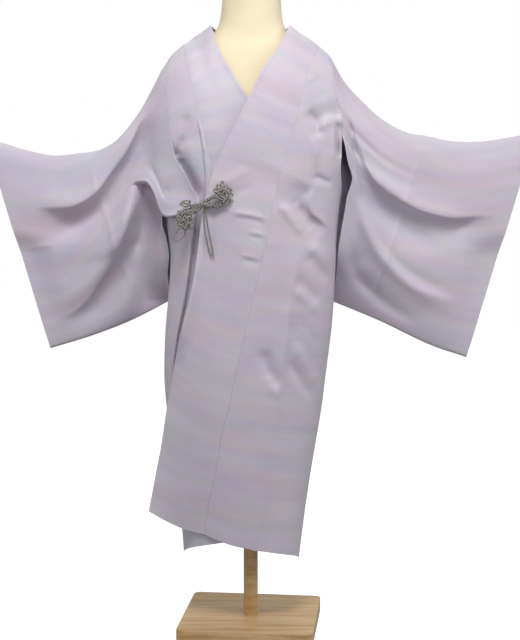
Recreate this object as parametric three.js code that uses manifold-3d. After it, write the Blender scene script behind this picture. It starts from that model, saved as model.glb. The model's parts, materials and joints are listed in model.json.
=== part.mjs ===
// A lined silk kimono overcoat with a wide wrapped collar, worn on a limbless dress form that stands
// on a wooden base. Millimetres, +Z up, the front faces -Y. "Right" and "left" are the wearer's, so
// the wearer's right side is at -X. The origin is the centre of the base's underside.
// Every cloth piece is a wall of CLOTH thickness round a middle surface. The body and collar lie on one
// shell: horizontal rings up to ARMPIT_Z, then an arch over the shoulders. Each sleeve is a flat bag.
import * as THREE from "three";
import { mergeVertices } from "three/addons/utils/BufferGeometryUtils.js";
import Module from "manifold-3d";

const wasm = await Module();
wasm.setup();

// ---- driving dimensions -------------------------------------------------------------------------
const CLOTH = 2; // wall of the lined silk
const SEAM = 0.3; // gap between two pieces at a seam
const CURVED_SEAM = 0.7; // and where the seam is bent round the neck or the armhole
const LAP = { left: 3.2, right: -5 }; // how far the overlapping fronts stand off the shell, out and in
const UNDER_COLLAR_DROP = 3; // and how much deeper the underlying collar's free edge lies
const ARMPIT_Z = 1060;
const ROUND = 2.3; // roundness of the rings: 2 is an ellipse
const NECK_ROWS = 5; // rows of the back arch from the ridge to where the neck seam meets the centre back
const COLLAR_BACK = { x: 85, y: 120, z: 1341, drop: 18 }; // free edge of the collar behind the neck
const FRONT_ARCH = [0, 15, 30, 45, 60, 75]; // degrees of the rows from armpit to shoulder ridge
const BACK_ARCH = [90, 100, 110, 120, 128, 136, 150, 165]; // and from the ridge down to the armpit
const SLEEVE_ROWS = 20; // rows from the top fold of a sleeve to its bottom seam
const SLEEVE_COLUMNS = 16;
const CORD = 4; // diameter of the tie cords
const BASE = { width: 300, depth: 280, height: 30, corner: 14, turn: -0.11 };
const POLE = { radius: 16, top: 724 };

const COLOURS = { cloth: 0xc9c3d6, cord: 0x77756f, form: 0xe6d7b4, wood: 0xc9a465 };

// ---- tables -------------------------------------------------------------------------------------
const table = (columns, rows) =>
  rows.map((row) => Object.fromEntries(columns.map((name, i) => [name, row[i]])));

// Rings of the shell: how far it reaches to the wearer's right and left, to the front and to the back.
const RINGS = table(["z", "right", "left", "front", "back"], [
  [140, -148, 104, 92, 98],
  [250, -156, 118, 98, 104],
  [340, -168, 131, 106, 110],
  [420, -177, 144, 112, 116],
  [500, -186, 157, 118, 122],
  [575, -191, 166, 122, 126],
  [675, -188, 178, 126, 130],
  [740, -182, 183, 127, 134],
  [825, -176, 187, 128, 139],
  [885, -182, 191, 129, 141],
  [955, -190, 199, 129, 139],
  [1010, -202, 210, 127, 136],
  [1060, -216, 222, 125, 132],
]);

// Height of the shoulder ridge at each distance from the centre line.
const RIDGE = table(["x", "z"], [
  [0, 1365], [40, 1360], [84, 1342], [104, 1326], [127, 1311], [146, 1298],
  [171, 1276], [186, 1254], [196, 1238], [206, 1215], [226, 1160],
]);

// Seam between a front and its collar half, seen from the front.
const COLLAR_SEAM = {
  right: table(["z", "x"], [
    [180, 0], [300, -5], [500, -15], [700, -30], [800, -40], [900, -52], [961, -62], [1024, -76],
    [1064, -89], [1118, -101], [1170, -114], [1235, -129], [1298, -146],
  ]),
  left: table(["z", "x"], [
    [155, -112], [251, -97], [309, -89], [366, -76], [458, -61], [525, -45], [593, -31], [657, -17],
    [777, 10], [862, 30], [961, 49], [1013, 61], [1078, 78], [1134, 97], [1213, 114], [1298, 146],
  ]),
};

// Outer edge of the body from the armpit to the shoulder ridge, where the sleeve is sewn on. Below the
// armpit it runs round the side to the side seam, which starts at the height `slit`.
const ARMHOLE = {
  rightFront: table(["z", "x"], [[1060, -161], [1125, -171], [1190, -181], [1238, -196]]),
  rightBack: table(["z", "x"], [[1060, -198], [1150, -197], [1238, -196]]),
  leftFront: table(["z", "x"], [[1060, 196], [1138, 197], [1163, 190], [1191, 180], [1225, 177], [1266, 178]]),
  leftBack: table(["z", "x"], [[1060, 198], [1150, 192], [1225, 181], [1266, 178]]),
};
const SLIT = { rightFront: 880, rightBack: 900, leftFront: 900, leftBack: 900 };

// Free edge of each collar half, from the hem to the shoulder. The right one lies underneath.
const FREE_EDGE = {
  right: table(["z", "x"], [
    [200, 92], [300, 100], [500, 116], [700, 112], [800, 105], [900, 94], [1024, 66], [1095, 42],
    [1140, 20], [1185, -6], [1233, -35], [1283, -64], [1341, -85],
  ]),
  left: table(["z", "x"], [
    [286, -223], [365, -208], [430, -195], [518, -181], [557, -173], [618, -162], [689, -147], [755, -130],
    [836, -113], [961, -95], [999, -84], [1034, -74], [1084, -53], [1132, -28], [1176, -5], [1211, 11],
    [1242, 27], [1285, 57], [1341, 85],
  ]),
};
// Depth of the left free edge where it stands clear of the body.
const FREE_EDGE_DEPTH = table(["z", "y"], [
  [286, -78], [365, -76], [430, -76], [518, -80], [557, -84], [618, -92], [689, -102], [755, -110], [836, -116],
]);
const FLARE = { from: 780, to: 900 }; // between these heights the collar leaves the shell for that edge

// Hem height, from the collar seam (0) to the side seam (1), or from the centre back to the side seam.
const HEM = {
  right: table(["u", "z"], [[0, 226], [0.3, 214], [0.6, 200], [1, 174]]),
  left: table(["u", "z"], [[0, 236], [0.3, 208], [0.55, 192], [0.8, 176], [1, 160]]),
  rightBack: table(["u", "z"], [[0, 167], [1, 174]]),
  leftBack: table(["u", "z"], [[0, 167], [1, 160]]),
};
const COLLAR_HEM = { right: 246, left: 286 }; // at the free edge

// Top fold of each sleeve from the shoulder to the cuff, hanging between the two.
const SLEEVE_TOP = {
  right: table(["s", "x", "z"], [
    [0, -196, 1238], [0.1, -218, 1196], [0.22, -246, 1149], [0.36, -290, 1096], [0.46, -330, 1073],
    [0.56, -372, 1066], [0.7, -430, 1061], [0.82, -484, 1071], [0.92, -535, 1086], [1, -576, 1097],
  ]),
  left: table(["s", "x", "z"], [
    [0, 178, 1266], [0.1, 203, 1222], [0.22, 243, 1178], [0.36, 290, 1137], [0.48, 340, 1111],
    [0.58, 385, 1103], [0.7, 440, 1092], [0.82, 503, 1091], [0.92, 565, 1100], [1, 620, 1110],
  ]),
};
const SLEEVE_BOTTOM = {
  right: table(["s", "x", "z"], [[0, -176, 741], [0.35, -269, 695], [0.68, -358, 662], [1, -446, 636]]),
  left: table(["s", "x", "z"], [[0, 182, 737], [0.35, 288, 695], [0.7, 400, 643], [1, 481, 616]]),
};
// Inner edge of a sleeve below the armhole, front layer and back layer, down to the bottom seam.
const SLEEVE_OPENING = {
  right: {
    front: table(["t", "x", "y", "z"], [
      [0.3, -162, -97, 1060], [0.37, -137, -119, 1022], [0.43, -124, -126, 994], [0.49, -113, -129, 967],
      [0.55, -121, -125, 944], [0.61, -152, -108, 932], [0.67, -186, -80, 922], [0.74, -197, -46, 890],
      [0.82, -193, -8, 850], [0.91, -187, 28, 796], [1, -176, 62, 741],
    ]),
    back: table(["t", "x", "y", "z"], [
      [0.4, -200, 70, 1062], [0.5, -178, 100, 1005], [0.65, -186, 96, 930], [0.82, -184, 82, 840], [1, -176, 73, 741],
    ]),
  },
  left: {
    front: table(["t", "x", "y", "z"], [
      [0.3, 210, -72, 1084], [0.37, 213, -66, 1050], [0.45, 216, -50, 1012], [0.57, 213, -26, 956],
      [0.68, 207, -2, 906], [0.79, 201, 22, 858], [0.9, 195, 42, 800], [1, 182, 60, 737],
    ]),
    back: table(["t", "x", "y", "z"], [
      [0.4, 200, 71, 1062], [0.5, 206, 96, 1005], [0.65, 206, 92, 930], [0.82, 197, 82, 840], [1, 182, 71, 737],
    ]),
  },
};
const SLEEVE_SEWN_ROWS = { right: 5, left: 5, back: 7 }; // rows of a sleeve sewn to the armhole
// Half the gap between a sleeve's two layers, and the depth of its middle at the bottom seam.
const SLEEVE_FILL = table(["s", "half", "low"], [
  [0, 84, 66], [0.12, 68, 56], [0.28, 48, 42], [0.5, 34, 26], [0.75, 27, 14], [1, 24, 6],
]);
const STRAY = 2.4; // how fast a sleeve forgets the shape of its inner edge towards the cuff
const SLEEVE_FLAT = 4.5; // half gap where the layers are closed, at the bottom and low on the cuff

// Folds are soft troughs (push above 0, into the cloth) and ridges (below 0) along a line of x, z
// points on the front or back. A step lifts one side of its line and lowers the other.
const FOLDS = {
  rightSleeveFront: [
    { line: [[-236, 1130], [-262, 1080], [-295, 1032], [-330, 985], [-370, 960], [-415, 955], [-480, 965]], push: -11, width: 30 },
    { line: [[-205, 1180], [-222, 1125], [-252, 1070], [-285, 1012], [-320, 955], [-362, 922], [-415, 908], [-480, 915]], push: 12, width: 28 },
    { line: [[-235, 1000], [-270, 955], [-310, 898], [-360, 856], [-409, 840], [-466, 828]], push: -10, width: 30 },
    { line: [[-228, 960], [-262, 893], [-292, 835], [-330, 775], [-368, 715]], push: -9, width: 28 },
    { line: [[-205, 880], [-232, 815], [-256, 755]], push: 7, width: 30 },
  ],
  leftSleeveFront: [
    { line: [[236, 1055], [266, 1015], [307, 985], [346, 960], [390, 944], [440, 940], [510, 952]], push: -11, width: 30 },
    { line: [[200, 1190], [216, 1130], [232, 1070], [255, 1015], [295, 960], [350, 912], [405, 890], [470, 888], [540, 903]], push: 12, width: 28 },
    { line: [[238, 985], [258, 935], [280, 880], [312, 826], [354, 778], [405, 745], [462, 715]], push: -10, width: 30 },
    { line: [[214, 896], [252, 826], [294, 770], [340, 716], [372, 680]], push: 8, width: 28 },
  ],
  rightSleeveBack: [
    { line: [[-240, 1120], [-300, 1010], [-380, 930], [-470, 920]], push: 11, width: 34 },
    { line: [[-225, 1040], [-290, 930], [-400, 830], [-470, 800]], push: -9, width: 32 },
    { line: [[-240, 900], [-290, 800], [-350, 700]], push: 7, width: 30 },
  ],
  leftSleeveBack: [
    { line: [[240, 1120], [310, 1010], [400, 930], [510, 920]], push: 11, width: 34 },
    { line: [[225, 1040], [300, 930], [410, 830], [500, 790]], push: -9, width: 32 },
    { line: [[240, 900], [300, 790], [360, 700]], push: 7, width: 30 },
  ],
  rightFront: [
    { line: [[-118, 1160], [-121, 1090], [-119, 1040]], push: 7, width: 16 },
    { line: [[-119, 1060], [-121, 1000], [-124, 950]], push: 8, width: 15 },
  ],
  leftFront: [
    { line: [[138, 1222], [158, 1185], [176, 1150]], push: 6, width: 18 },
    { line: [[112, 1172], [132, 1132], [150, 1092]], push: 5, width: 18 },
    { line: [[98, 960], [117, 932], [138, 902]], push: 4, width: 18 },
    { line: [[116, 893], [93, 808], [85, 741], [77, 688], [68, 623], [60, 555], [49, 497], [36, 430]], push: -4, width: 16 },
    { line: [[88, 735], [108, 640], [150, 560]], push: 5, width: 20 },
    { line: [[20, 640], [35, 585], [60, 530]], push: 3, width: 20 },
  ],
  rightBack: [
    { line: [[-150, 1120], [-120, 1010], [-110, 880]], push: 8, width: 28 },
    { line: [[-60, 980], [-55, 800], [-50, 560]], push: -5, width: 26 },
    { line: [[-120, 760], [-112, 560], [-100, 330]], push: 7, width: 26 },
  ],
  leftBack: [
    { line: [[150, 1120], [124, 1010], [112, 880]], push: 8, width: 28 },
    { line: [[56, 940], [52, 760], [46, 520]], push: -5, width: 26 },
    { line: [[118, 720], [104, 520], [84, 300]], push: 7, width: 26 },
  ],
};
// The slack of the right sleeve hangs in a pouch over the tie: its lower and outer edge steps back.
const POUCH = { line: [[-243, 1006], [-222, 976], [-208, 948], [-198, 920]], lift: 12, width: 26, reach: 70 };

// Dress form: level rings. The coat's shoulders rest on it.
const FORM_RINGS = table(["z", "half", "front", "back", "x"], [
  [724, 128, 88, 92, 0], [740, 150, 104, 108, 1], [790, 158, 110, 116, 3], [850, 158, 112, 120, 4],
  [950, 162, 112, 120, 4], [1060, 168, 110, 116, 3], [1150, 173, 104, 110, 2], [1207, 175.5, 97, 102, 2],
  [1248.2, 164.4, 84, 96, 2], [1278.4, 142.4, 74, 88, 1], [1300.2, 116.4, 65, 80, 1], [1315, 92, 60, 72, 1],
  [1331, 74, 58, 66, 2], [1355, 66, 57, 61, 2], [1400, 63, 56, 60, 3], [1440, 62, 55, 59, 3], [1450, 56, 49, 53, 3],
]);

// Tie cords: loops of the two flower knots, at x, z in front of the cloth, each turned by its angle.
const FRONT_KNOT = table(["x", "z", "long", "wide", "deg"], [
  [-73.5, 964, 14, 8, 12], [-62, 971, 13, 9, 24], [-47, 968, 13, 7, -34], [-37, 980, 14, 8, 10],
  [-38, 996, 13, 8, 62], [-52, 1003, 14, 7, 100], [-60, 992, 12, 7, 150], [-50, 984, 12, 9, 40],
]);
const SIDE_KNOT = table(["x", "z", "long", "wide", "deg"], [
  [-114.5, 949, 14, 8, 215], [-122, 940, 13, 9, 235], [-136, 944, 12, 7, 170], [-146, 930, 13, 7, 160],
  [-134, 922, 14, 8, 240], [-143, 911, 14, 8, 255], [-126, 908, 13, 7, 285], [-151, 884, 20, 10, 240],
]);
const FRONT_CORE = [[-86, 961], [-70, 968], [-54, 976], [-46, 990]];
const SIDE_CORE = [[-102.6, 955.2], [-118, 946], [-134, 932], [-142, 912], [-144, 896]];
const TIE_JOIN = { core: [[-94.5, 960], [-94.5, 957.5]], radius: 4.6 };
const KNOT_CORE = 3.6; // radius of a knot's wrapped middle
const HANGING_ENDS = {
  tie_end_outer: table(["x", "y", "z"], [
    [-92.8, -136.4, 952.5], [-91.5, -135, 930], [-87.5, -132, 908], [-83.5, -130, 886],
    [-79.5, -129.6, 866], [-77.5, -129.2, 848],
  ]),
  tie_end_inner: table(["x", "y", "z"], [
    [-96.4, -136.4, 952.4], [-97, -135, 930], [-95, -132, 908], [-91.5, -130, 886],
    [-87, -128.5, 864], [-82, -128, 849],
  ]),
};
const KNOT_DEPTH = -136.4; // where the knots' middle lies, in front of the cloth

// ---- small mathematics --------------------------------------------------------------------------
const radians = (deg) => (deg * Math.PI) / 180;
const mix = (a, b, t) => a + (b - a) * t;
const clamp = (t) => Math.min(1, Math.max(0, t));
const smooth = (t) => clamp(t) ** 2 * (3 - 2 * clamp(t));
const signOf = (side) => (side === "right" ? -1 : 1);

// A smooth curve through a table's rows: the value of one column where the key column is `at`.
function lookUp(rows, key, at, column) {
  const last = rows.length - 1;
  if (at <= rows[0][key]) return rows[0][column];
  if (at >= rows[last][key]) return rows[last][column];
  const i = rows.findIndex((row) => row[key] > at) - 1;
  const slope = (k) => {
    const a = rows[Math.max(k - 1, 0)];
    const b = rows[Math.min(k + 1, last)];
    return (b[column] - a[column]) / (b[key] - a[key]);
  };
  const span = rows[i + 1][key] - rows[i][key];
  const t = (at - rows[i][key]) / span;
  const h = t * t * (3 - 2 * t);
  return (
    mix(rows[i][column], rows[i + 1][column], h) +
    span * t * (1 - t) * ((1 - t) * slope(i) - t * slope(i + 1))
  );
}

// Nearest point of a line of [x, z] points: its distance, how far along it lies (0 to 1), and its side.
function nearest(line, x, z) {
  const lengths = line.slice(1).map((p, i) => Math.hypot(p[0] - line[i][0], p[1] - line[i][1]));
  const whole = lengths.reduce((a, b) => a + b, 0);
  let best = { distance: Infinity, along: 0, side: 1 };
  let before = 0;
  lengths.forEach((length, i) => {
    const [ax, az] = line[i];
    const dx = (line[i + 1][0] - ax) / length;
    const dz = (line[i + 1][1] - az) / length;
    const along = Math.min(length, Math.max(0, (x - ax) * dx + (z - az) * dz));
    const distance = Math.hypot(x - ax - dx * along, z - az - dz * along);
    if (distance < best.distance) {
      const side = Math.sign((x - ax) * dz - (z - az) * dx) || 1;
      best = { distance, along: (before + along) / whole, side };
    }
    before += length;
  });
  return best;
}

// Sum of a list of folds at x, z. Each fades out over the last quarter of its line.
function foldPush(folds, x, z) {
  return folds.reduce((sum, { line, push, width }) => {
    const { distance, along } = nearest(line, x, z);
    const fade = smooth(along * 4) * smooth((1 - along) * 4);
    return sum + push * (0.15 + 0.85 * fade) * Math.exp(-((distance / width) ** 2));
  }, 0);
}

// ---- the shell that the body and the collar lie on ----------------------------------------------
function ring(z) {
  const at = (column) => lookUp(RINGS, "z", z, column);
  const [right, left] = [at("right"), at("left")];
  return { centre: (left + right) / 2, half: (left - right) / 2, front: at("front"), back: at("back") };
}

// A point on a level ring: angle 0 is the front, 90 the wearer's left side, 180 the back.
function ringPoint(deg, z, off = 0) {
  const { centre, half, front, back } = ring(z);
  const [s, c] = [Math.sin(radians(deg)), Math.cos(radians(deg))];
  const depth = c > 0 ? -(front + off) : back + off;
  const power = 2 / ROUND;
  return new THREE.Vector3(
    centre + (half + off) * Math.sign(s) * Math.abs(s) ** power,
    depth * Math.abs(c) ** power,
    z,
  );
}

// The angle on the front of the ring at a given x.
function angleAt(x, z) {
  const { centre, half } = ring(z);
  const share = Math.min(1, Math.abs(x - centre) / half);
  return (Math.sign(x - centre) * Math.asin(share ** (ROUND / 2)) * 180) / Math.PI;
}

// A point on the shoulder arch: 0 is the front at the armpit, 90 the ridge, 180 the back at the armpit.
function archPoint(x, deg, off = 0) {
  const middle = (xx, a) => {
    const side = angleAt(xx, ARMPIT_Z);
    const base = ringPoint(a > 90 ? 180 - side : side, ARMPIT_Z);
    const height = lookUp(RIDGE, "x", Math.abs(xx), "z") - ARMPIT_Z;
    const turn = radians(a);
    return new THREE.Vector3(xx, Math.abs(base.y) * -Math.cos(turn), ARMPIT_Z + height * Math.sin(turn));
  };
  const point = middle(x, deg);
  if (!off) return point;
  const across = middle(x + 1, deg).sub(middle(x - 1, deg));
  const along = middle(x, deg + 0.5).sub(middle(x, deg - 0.5));
  return point.addScaledVector(across.cross(along).normalize(), off);
}

// A point on the shell's front at x, z, `off` outside it.
function frontPoint(x, z, off = 0) {
  if (z <= ARMPIT_Z) return ringPoint(angleAt(x, z), z, off);
  const height = lookUp(RIDGE, "x", Math.abs(x), "z") - ARMPIT_Z;
  const deg = (Math.asin(clamp((z - ARMPIT_Z) / height)) * 180) / Math.PI;
  return archPoint(x, deg, off);
}

// ---- walls --------------------------------------------------------------------------------------
// The way out of the cloth at each point of a grid. Its rows may close on themselves, as on a tube.
// `out` is 1 or -1: the side that the cross product of row and column directions faces. `beside(i, j)`
// gives the neighbouring piece's point one step past an edge.
function outwards(grid, { closed = false, out = 1, beside = () => undefined } = {}) {
  const rows = grid.length;
  const row = (i) => (closed ? (i + rows) % rows : Math.min(rows - 1, Math.max(0, i)));
  return grid.map((points, i) =>
    points.map((_, j) => {
      const near = (k, m) =>
        grid[closed ? row(k) : k]?.[m] ?? beside(k, m) ??
        grid[row(k)][Math.min(points.length - 1, Math.max(0, m))];
      const along = near(i + 1, j).clone().sub(near(i - 1, j));
      const across = near(i, j + 1).clone().sub(near(i, j - 1));
      return along.cross(across).normalize().multiplyScalar(out);
    }),
  );
}

// A closed wall of CLOTH thickness round a grid of points.
function wall(grid, ways, { closed = false, out = 1 } = {}) {
  const rows = grid.length;
  const columns = grid[0].length;
  const positions = [];
  for (const face of [CLOTH / 2, -CLOTH / 2])
    grid.forEach((points, i) =>
      points.forEach((p, j) => positions.push(...p.clone().addScaledVector(ways[i][j], face).toArray())),
    );
  const outer = (i, j) => (i % rows) * columns + j;
  const inner = (i, j) => rows * columns + outer(i, j);
  const index = [];
  const quad = (a, b, c, d, turned = false) => {
    const [p, q, r, t] = turned ? [b, c, d, a] : [a, b, c, d];
    index.push(...(out > 0 ? [p, q, r, p, r, t] : [p, r, q, p, t, r]));
  };
  for (let i = 0; i < (closed ? rows : rows - 1); i++) {
    for (let j = 0; j < columns - 1; j++) {
      // Each square is split along its shorter diagonal.
      const [here, next] = [grid[i], grid[(i + 1) % rows]];
      const turned = here[j].distanceTo(next[j + 1]) > next[j].distanceTo(here[j + 1]);
      quad(outer(i, j), outer(i + 1, j), outer(i + 1, j + 1), outer(i, j + 1), turned);
      quad(inner(i, j), inner(i, j + 1), inner(i + 1, j + 1), inner(i + 1, j), turned);
    }
    quad(outer(i, 0), inner(i, 0), inner(i + 1, 0), outer(i + 1, 0));
    const end = columns - 1;
    quad(outer(i, end), outer(i + 1, end), inner(i + 1, end), inner(i, end));
  }
  if (!closed)
    for (let j = 0; j < columns - 1; j++) {
      quad(outer(0, j), outer(0, j + 1), inner(0, j + 1), inner(0, j));
      const end = rows - 1;
      quad(outer(end, j), inner(end, j), inner(end, j + 1), outer(end, j + 1));
    }
  return new THREE.BufferGeometry()
    .setAttribute("position", new THREE.Float32BufferAttribute(positions, 3))
    .setIndex(index);
}

// A closed skin over level rings of points, with a flat cap on each end.
function skin(rings) {
  const count = rings[0].length;
  const positions = rings.flat().flatMap((p) => p.toArray());
  const middle = (points) =>
    points.reduce((sum, p) => sum.add(p), new THREE.Vector3()).divideScalar(points.length);
  positions.push(...middle(rings[0]).toArray(), ...middle(rings.at(-1)).toArray());
  const [low, high] = [rings.length * count, rings.length * count + 1];
  const index = [];
  rings.forEach((_, i) => {
    for (let j = 0; j < count; j++) {
      const next = (j + 1) % count;
      const at = (k, m) => k * count + m;
      if (i < rings.length - 1)
        index.push(at(i, j), at(i, next), at(i + 1, next), at(i, j), at(i + 1, next), at(i + 1, j));
      if (i === 0) index.push(low, at(0, next), at(0, j));
      if (i === rings.length - 1) index.push(high, at(i, j), at(i, next));
    }
  });
  return new THREE.BufferGeometry()
    .setAttribute("position", new THREE.Float32BufferAttribute(positions, 3))
    .setIndex(index);
}

// ---- coat body: one length of cloth over each shoulder ------------------------------------------
const BODY_COLUMNS = 8;
const BODY_ROWS = 16; // from hem to armpit, front and back each

// How far a front stands off the shell: its own side lies on it, the overlapping part in or out.
function lapOffset(side, x) {
  const towards = signOf(side) * x; // grows towards the front's own side seam
  return LAP[side] * smooth((150 - towards) / 90);
}

// Angle from the middle of the front or back to the body's outer edge, below the armpit.
function outerAngle(part, z) {
  const atArmpit = Math.abs(angleAt(lookUp(ARMHOLE[part], "z", ARMPIT_Z, "x"), ARMPIT_Z));
  return mix(90 - 0.15, atArmpit, smooth((z - SLIT[part]) / (ARMPIT_Z - SLIT[part])));
}

// One point of a front below the armpit.
function frontBelow(side, u, z) {
  const inner = angleAt(lookUp(COLLAR_SEAM[side], "z", z, "x"), z);
  const outer = signOf(side) * outerAngle(side + "Front", z);
  const deg = mix(inner, outer, u);
  const x = ringPoint(deg, z).x;
  const point = ringPoint(deg, z, lapOffset(side, x));
  const facing = Math.cos(radians(deg));
  point.y += foldPush(FOLDS[side + "Front"], point.x, z) * facing;
  return point;
}

// One point of a front on the shoulder arch, where the height follows from x and the arch angle.
function frontOnArch(side, u, deg) {
  let z = ARMPIT_Z;
  let x = 0;
  for (let turn = 0; turn < 6; turn++) {
    x = mix(lookUp(COLLAR_SEAM[side], "z", z, "x"), lookUp(ARMHOLE[side + "Front"], "z", z, "x"), u);
    z = archPoint(x, deg).z;
  }
  const point = archPoint(x, deg, lapOffset(side, x) * Math.cos(radians(deg)));
  point.y += foldPush(FOLDS[side + "Front"], x, z) * Math.cos(radians(deg));
  return point;
}

// Distance of the neck seam from the centre line, behind the shoulder ridge.
function neckSeamX(side, deg) {
  const share = clamp((deg - 90) / (BACK_ARCH[NECK_ROWS] - 90));
  return signOf(side) * Math.max(SEAM / 2, 146 * Math.cos((share * Math.PI) / 2) ** 0.8);
}

function backOnArch(side, u, deg) {
  let z = ARMPIT_Z;
  let x = 0;
  for (let turn = 0; turn < 6; turn++) {
    x = mix(neckSeamX(side, deg), lookUp(ARMHOLE[side + "Back"], "z", z, "x"), u);
    z = archPoint(x, deg).z;
  }
  const point = archPoint(x, deg);
  point.y -= foldPush(FOLDS[side + "Back"], x, z) * -Math.cos(radians(deg));
  return point;
}

function backBelow(side, u, z) {
  const inner = signOf(side) * 180 - angleAt((signOf(side) * SEAM) / 2, z);
  const outer = signOf(side) * (180 - outerAngle(side + "Back", z));
  const deg = mix(inner, outer, u);
  const point = ringPoint(deg, z);
  point.y -= foldPush(FOLDS[side + "Back"], point.x, z) * -Math.cos(radians(deg));
  return point;
}

function bodyGrid(side) {
  const columns = [...Array(BODY_COLUMNS + 1)].map((_, j) => j / BODY_COLUMNS);
  const rows = [];
  for (let i = 0; i < BODY_ROWS; i++)
    rows.push(columns.map((u) => {
      const hem = lookUp(HEM[side], "u", u, "z");
      return frontBelow(side, u, mix(hem, ARMPIT_Z, i / BODY_ROWS));
    }));
  for (const deg of FRONT_ARCH) rows.push(columns.map((u) => frontOnArch(side, u, deg)));
  for (const deg of BACK_ARCH) rows.push(columns.map((u) => backOnArch(side, u, deg)));
  for (let i = 0; i <= BODY_ROWS; i++)
    rows.push(columns.map((u) => {
      const hem = lookUp(HEM[side + "Back"], "u", u, "z");
      return backBelow(side, u, mix(ARMPIT_Z, hem, i / BODY_ROWS));
    }));
  return rows;
}

// ---- collar: a wide strip from each hem up to the back of the neck ------------------------------
const COLLAR_COLUMNS = 4;
const RIDGE_ROW = BODY_ROWS + FRONT_ARCH.length; // row of a body's grid on the shoulder ridge

// One row of the strip below the neck, from the seam on the body's edge to the free edge: on the shell
// high up, and out to its own free edge lower down.
function collarFront(side, seamPoint, w) {
  const top = { seam: 1298, edge: COLLAR_BACK.z };
  const hem = lookUp(HEM[side], "u", 0, "z");
  const edgeZ = mix(COLLAR_HEM[side], top.edge, (seamPoint.z - hem) / (top.seam - hem));
  const edgeX = lookUp(FREE_EDGE[side], "z", edgeZ, "x");
  const [seamX, seamZ] = [seamPoint.x, seamPoint.z];
  const [x, z] = [mix(seamX, edgeX, w), mix(seamZ, edgeZ, w)];
  const drop = side === "right" ? UNDER_COLLAR_DROP * w : 0;
  const lap = (LAP[side] - drop) * smooth((top.edge - z) / 60);
  const seamLap = lapOffset(side, seamX) * smooth((top.seam + 30 - seamZ) / 60);
  const point = frontPoint(x, z, mix(seamLap, lap, smooth(w * 2)));
  point.addScaledVector(seamPoint.clone().sub(frontPoint(seamX, seamZ, seamLap)), 1 - w);
  if (side === "right" || z > FLARE.to) return point;
  const tangent = frontPoint(seamX - 4, seamZ).sub(frontPoint(seamX, seamZ)).normalize();
  const edge = new THREE.Vector3(edgeX, lookUp(FREE_EDGE_DEPTH, "z", edgeZ, "y") - LAP.left, edgeZ);
  const control = seamPoint.clone().addScaledVector(tangent, seamPoint.distanceTo(edge) * 0.45);
  const flared = seamPoint.clone().multiplyScalar((1 - w) ** 2)
    .addScaledVector(control, 2 * w * (1 - w)).addScaledVector(edge, w * w);
  return point.lerp(flared, smooth((FLARE.to - z) / (FLARE.to - FLARE.from)));
}

// The strip behind the neck: from the neck seam up and back to a free edge that stands off the nape.
function collarNeck(side, seamPoint, w, v) {
  const turn = (v * Math.PI) / 2;
  const edge = new THREE.Vector3(
    signOf(side) * Math.max(SEAM / 2, COLLAR_BACK.x * Math.cos(turn)),
    COLLAR_BACK.y * Math.sin(turn),
    COLLAR_BACK.z - COLLAR_BACK.drop * Math.sin(turn) ** 2,
  );
  return seamPoint.clone().lerp(edge, w);
}

function collarGrid(side, body) {
  const columns = [...Array(COLLAR_COLUMNS + 1)].map((_, j) => j / COLLAR_COLUMNS);
  return body.slice(0, RIDGE_ROW + NECK_ROWS + 1).map(([seamPoint], i) => {
    const neckShare = (i - RIDGE_ROW) / NECK_ROWS;
    const row = columns.map((w) =>
      neckShare < 0 ? collarFront(side, seamPoint, w) : collarNeck(side, seamPoint, w, neckShare));
    // The collar's own edge stands one seam away from the body's.
    const gap = mix(SEAM, CURVED_SEAM, smooth((i - RIDGE_ROW + 5) / 6));
    parted(row, neckShare < 1 ? body[i + 1][0].clone().sub(body[Math.max(0, i - 1)][0]) : null, gap);
    return row;
  });
}

// Moves a row's first point away from the seam it starts on, square to the seam's run.
function parted(row, run, gap) {
  const across = row[1].clone().sub(row[0]);
  if (run) across.addScaledVector(run.normalize(), -across.dot(run));
  row[0].addScaledVector(across.normalize(), gap);
}

// ---- sleeves: a bag with a top fold and a bottom seam, open to the body and at the cuff ---------
// Inner edge of a sleeve's front or back layer: along the armhole, then free.
function sleeveInner(side, layer, t) {
  const front = layer === "front";
  const sewn = SLEEVE_SEWN_ROWS[front ? side : "back"] / SLEEVE_ROWS;
  const armhole = (share) => {
    const step = Math.round(share * SLEEVE_ROWS);
    return front && step > 0
      ? frontOnArch(side, 1, FRONT_ARCH.at(-step))
      : backOnArch(side, 1, BACK_ARCH[step] ?? 180);
  };
  if (t <= sewn) return armhole(t);
  const start = armhole(sewn);
  const rows = [{ t: sewn, x: start.x, y: start.y, z: start.z }, ...SLEEVE_OPENING[side][layer]];
  return new THREE.Vector3(...["x", "y", "z"].map((column) => lookUp(rows, "t", t, column)));
}

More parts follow.
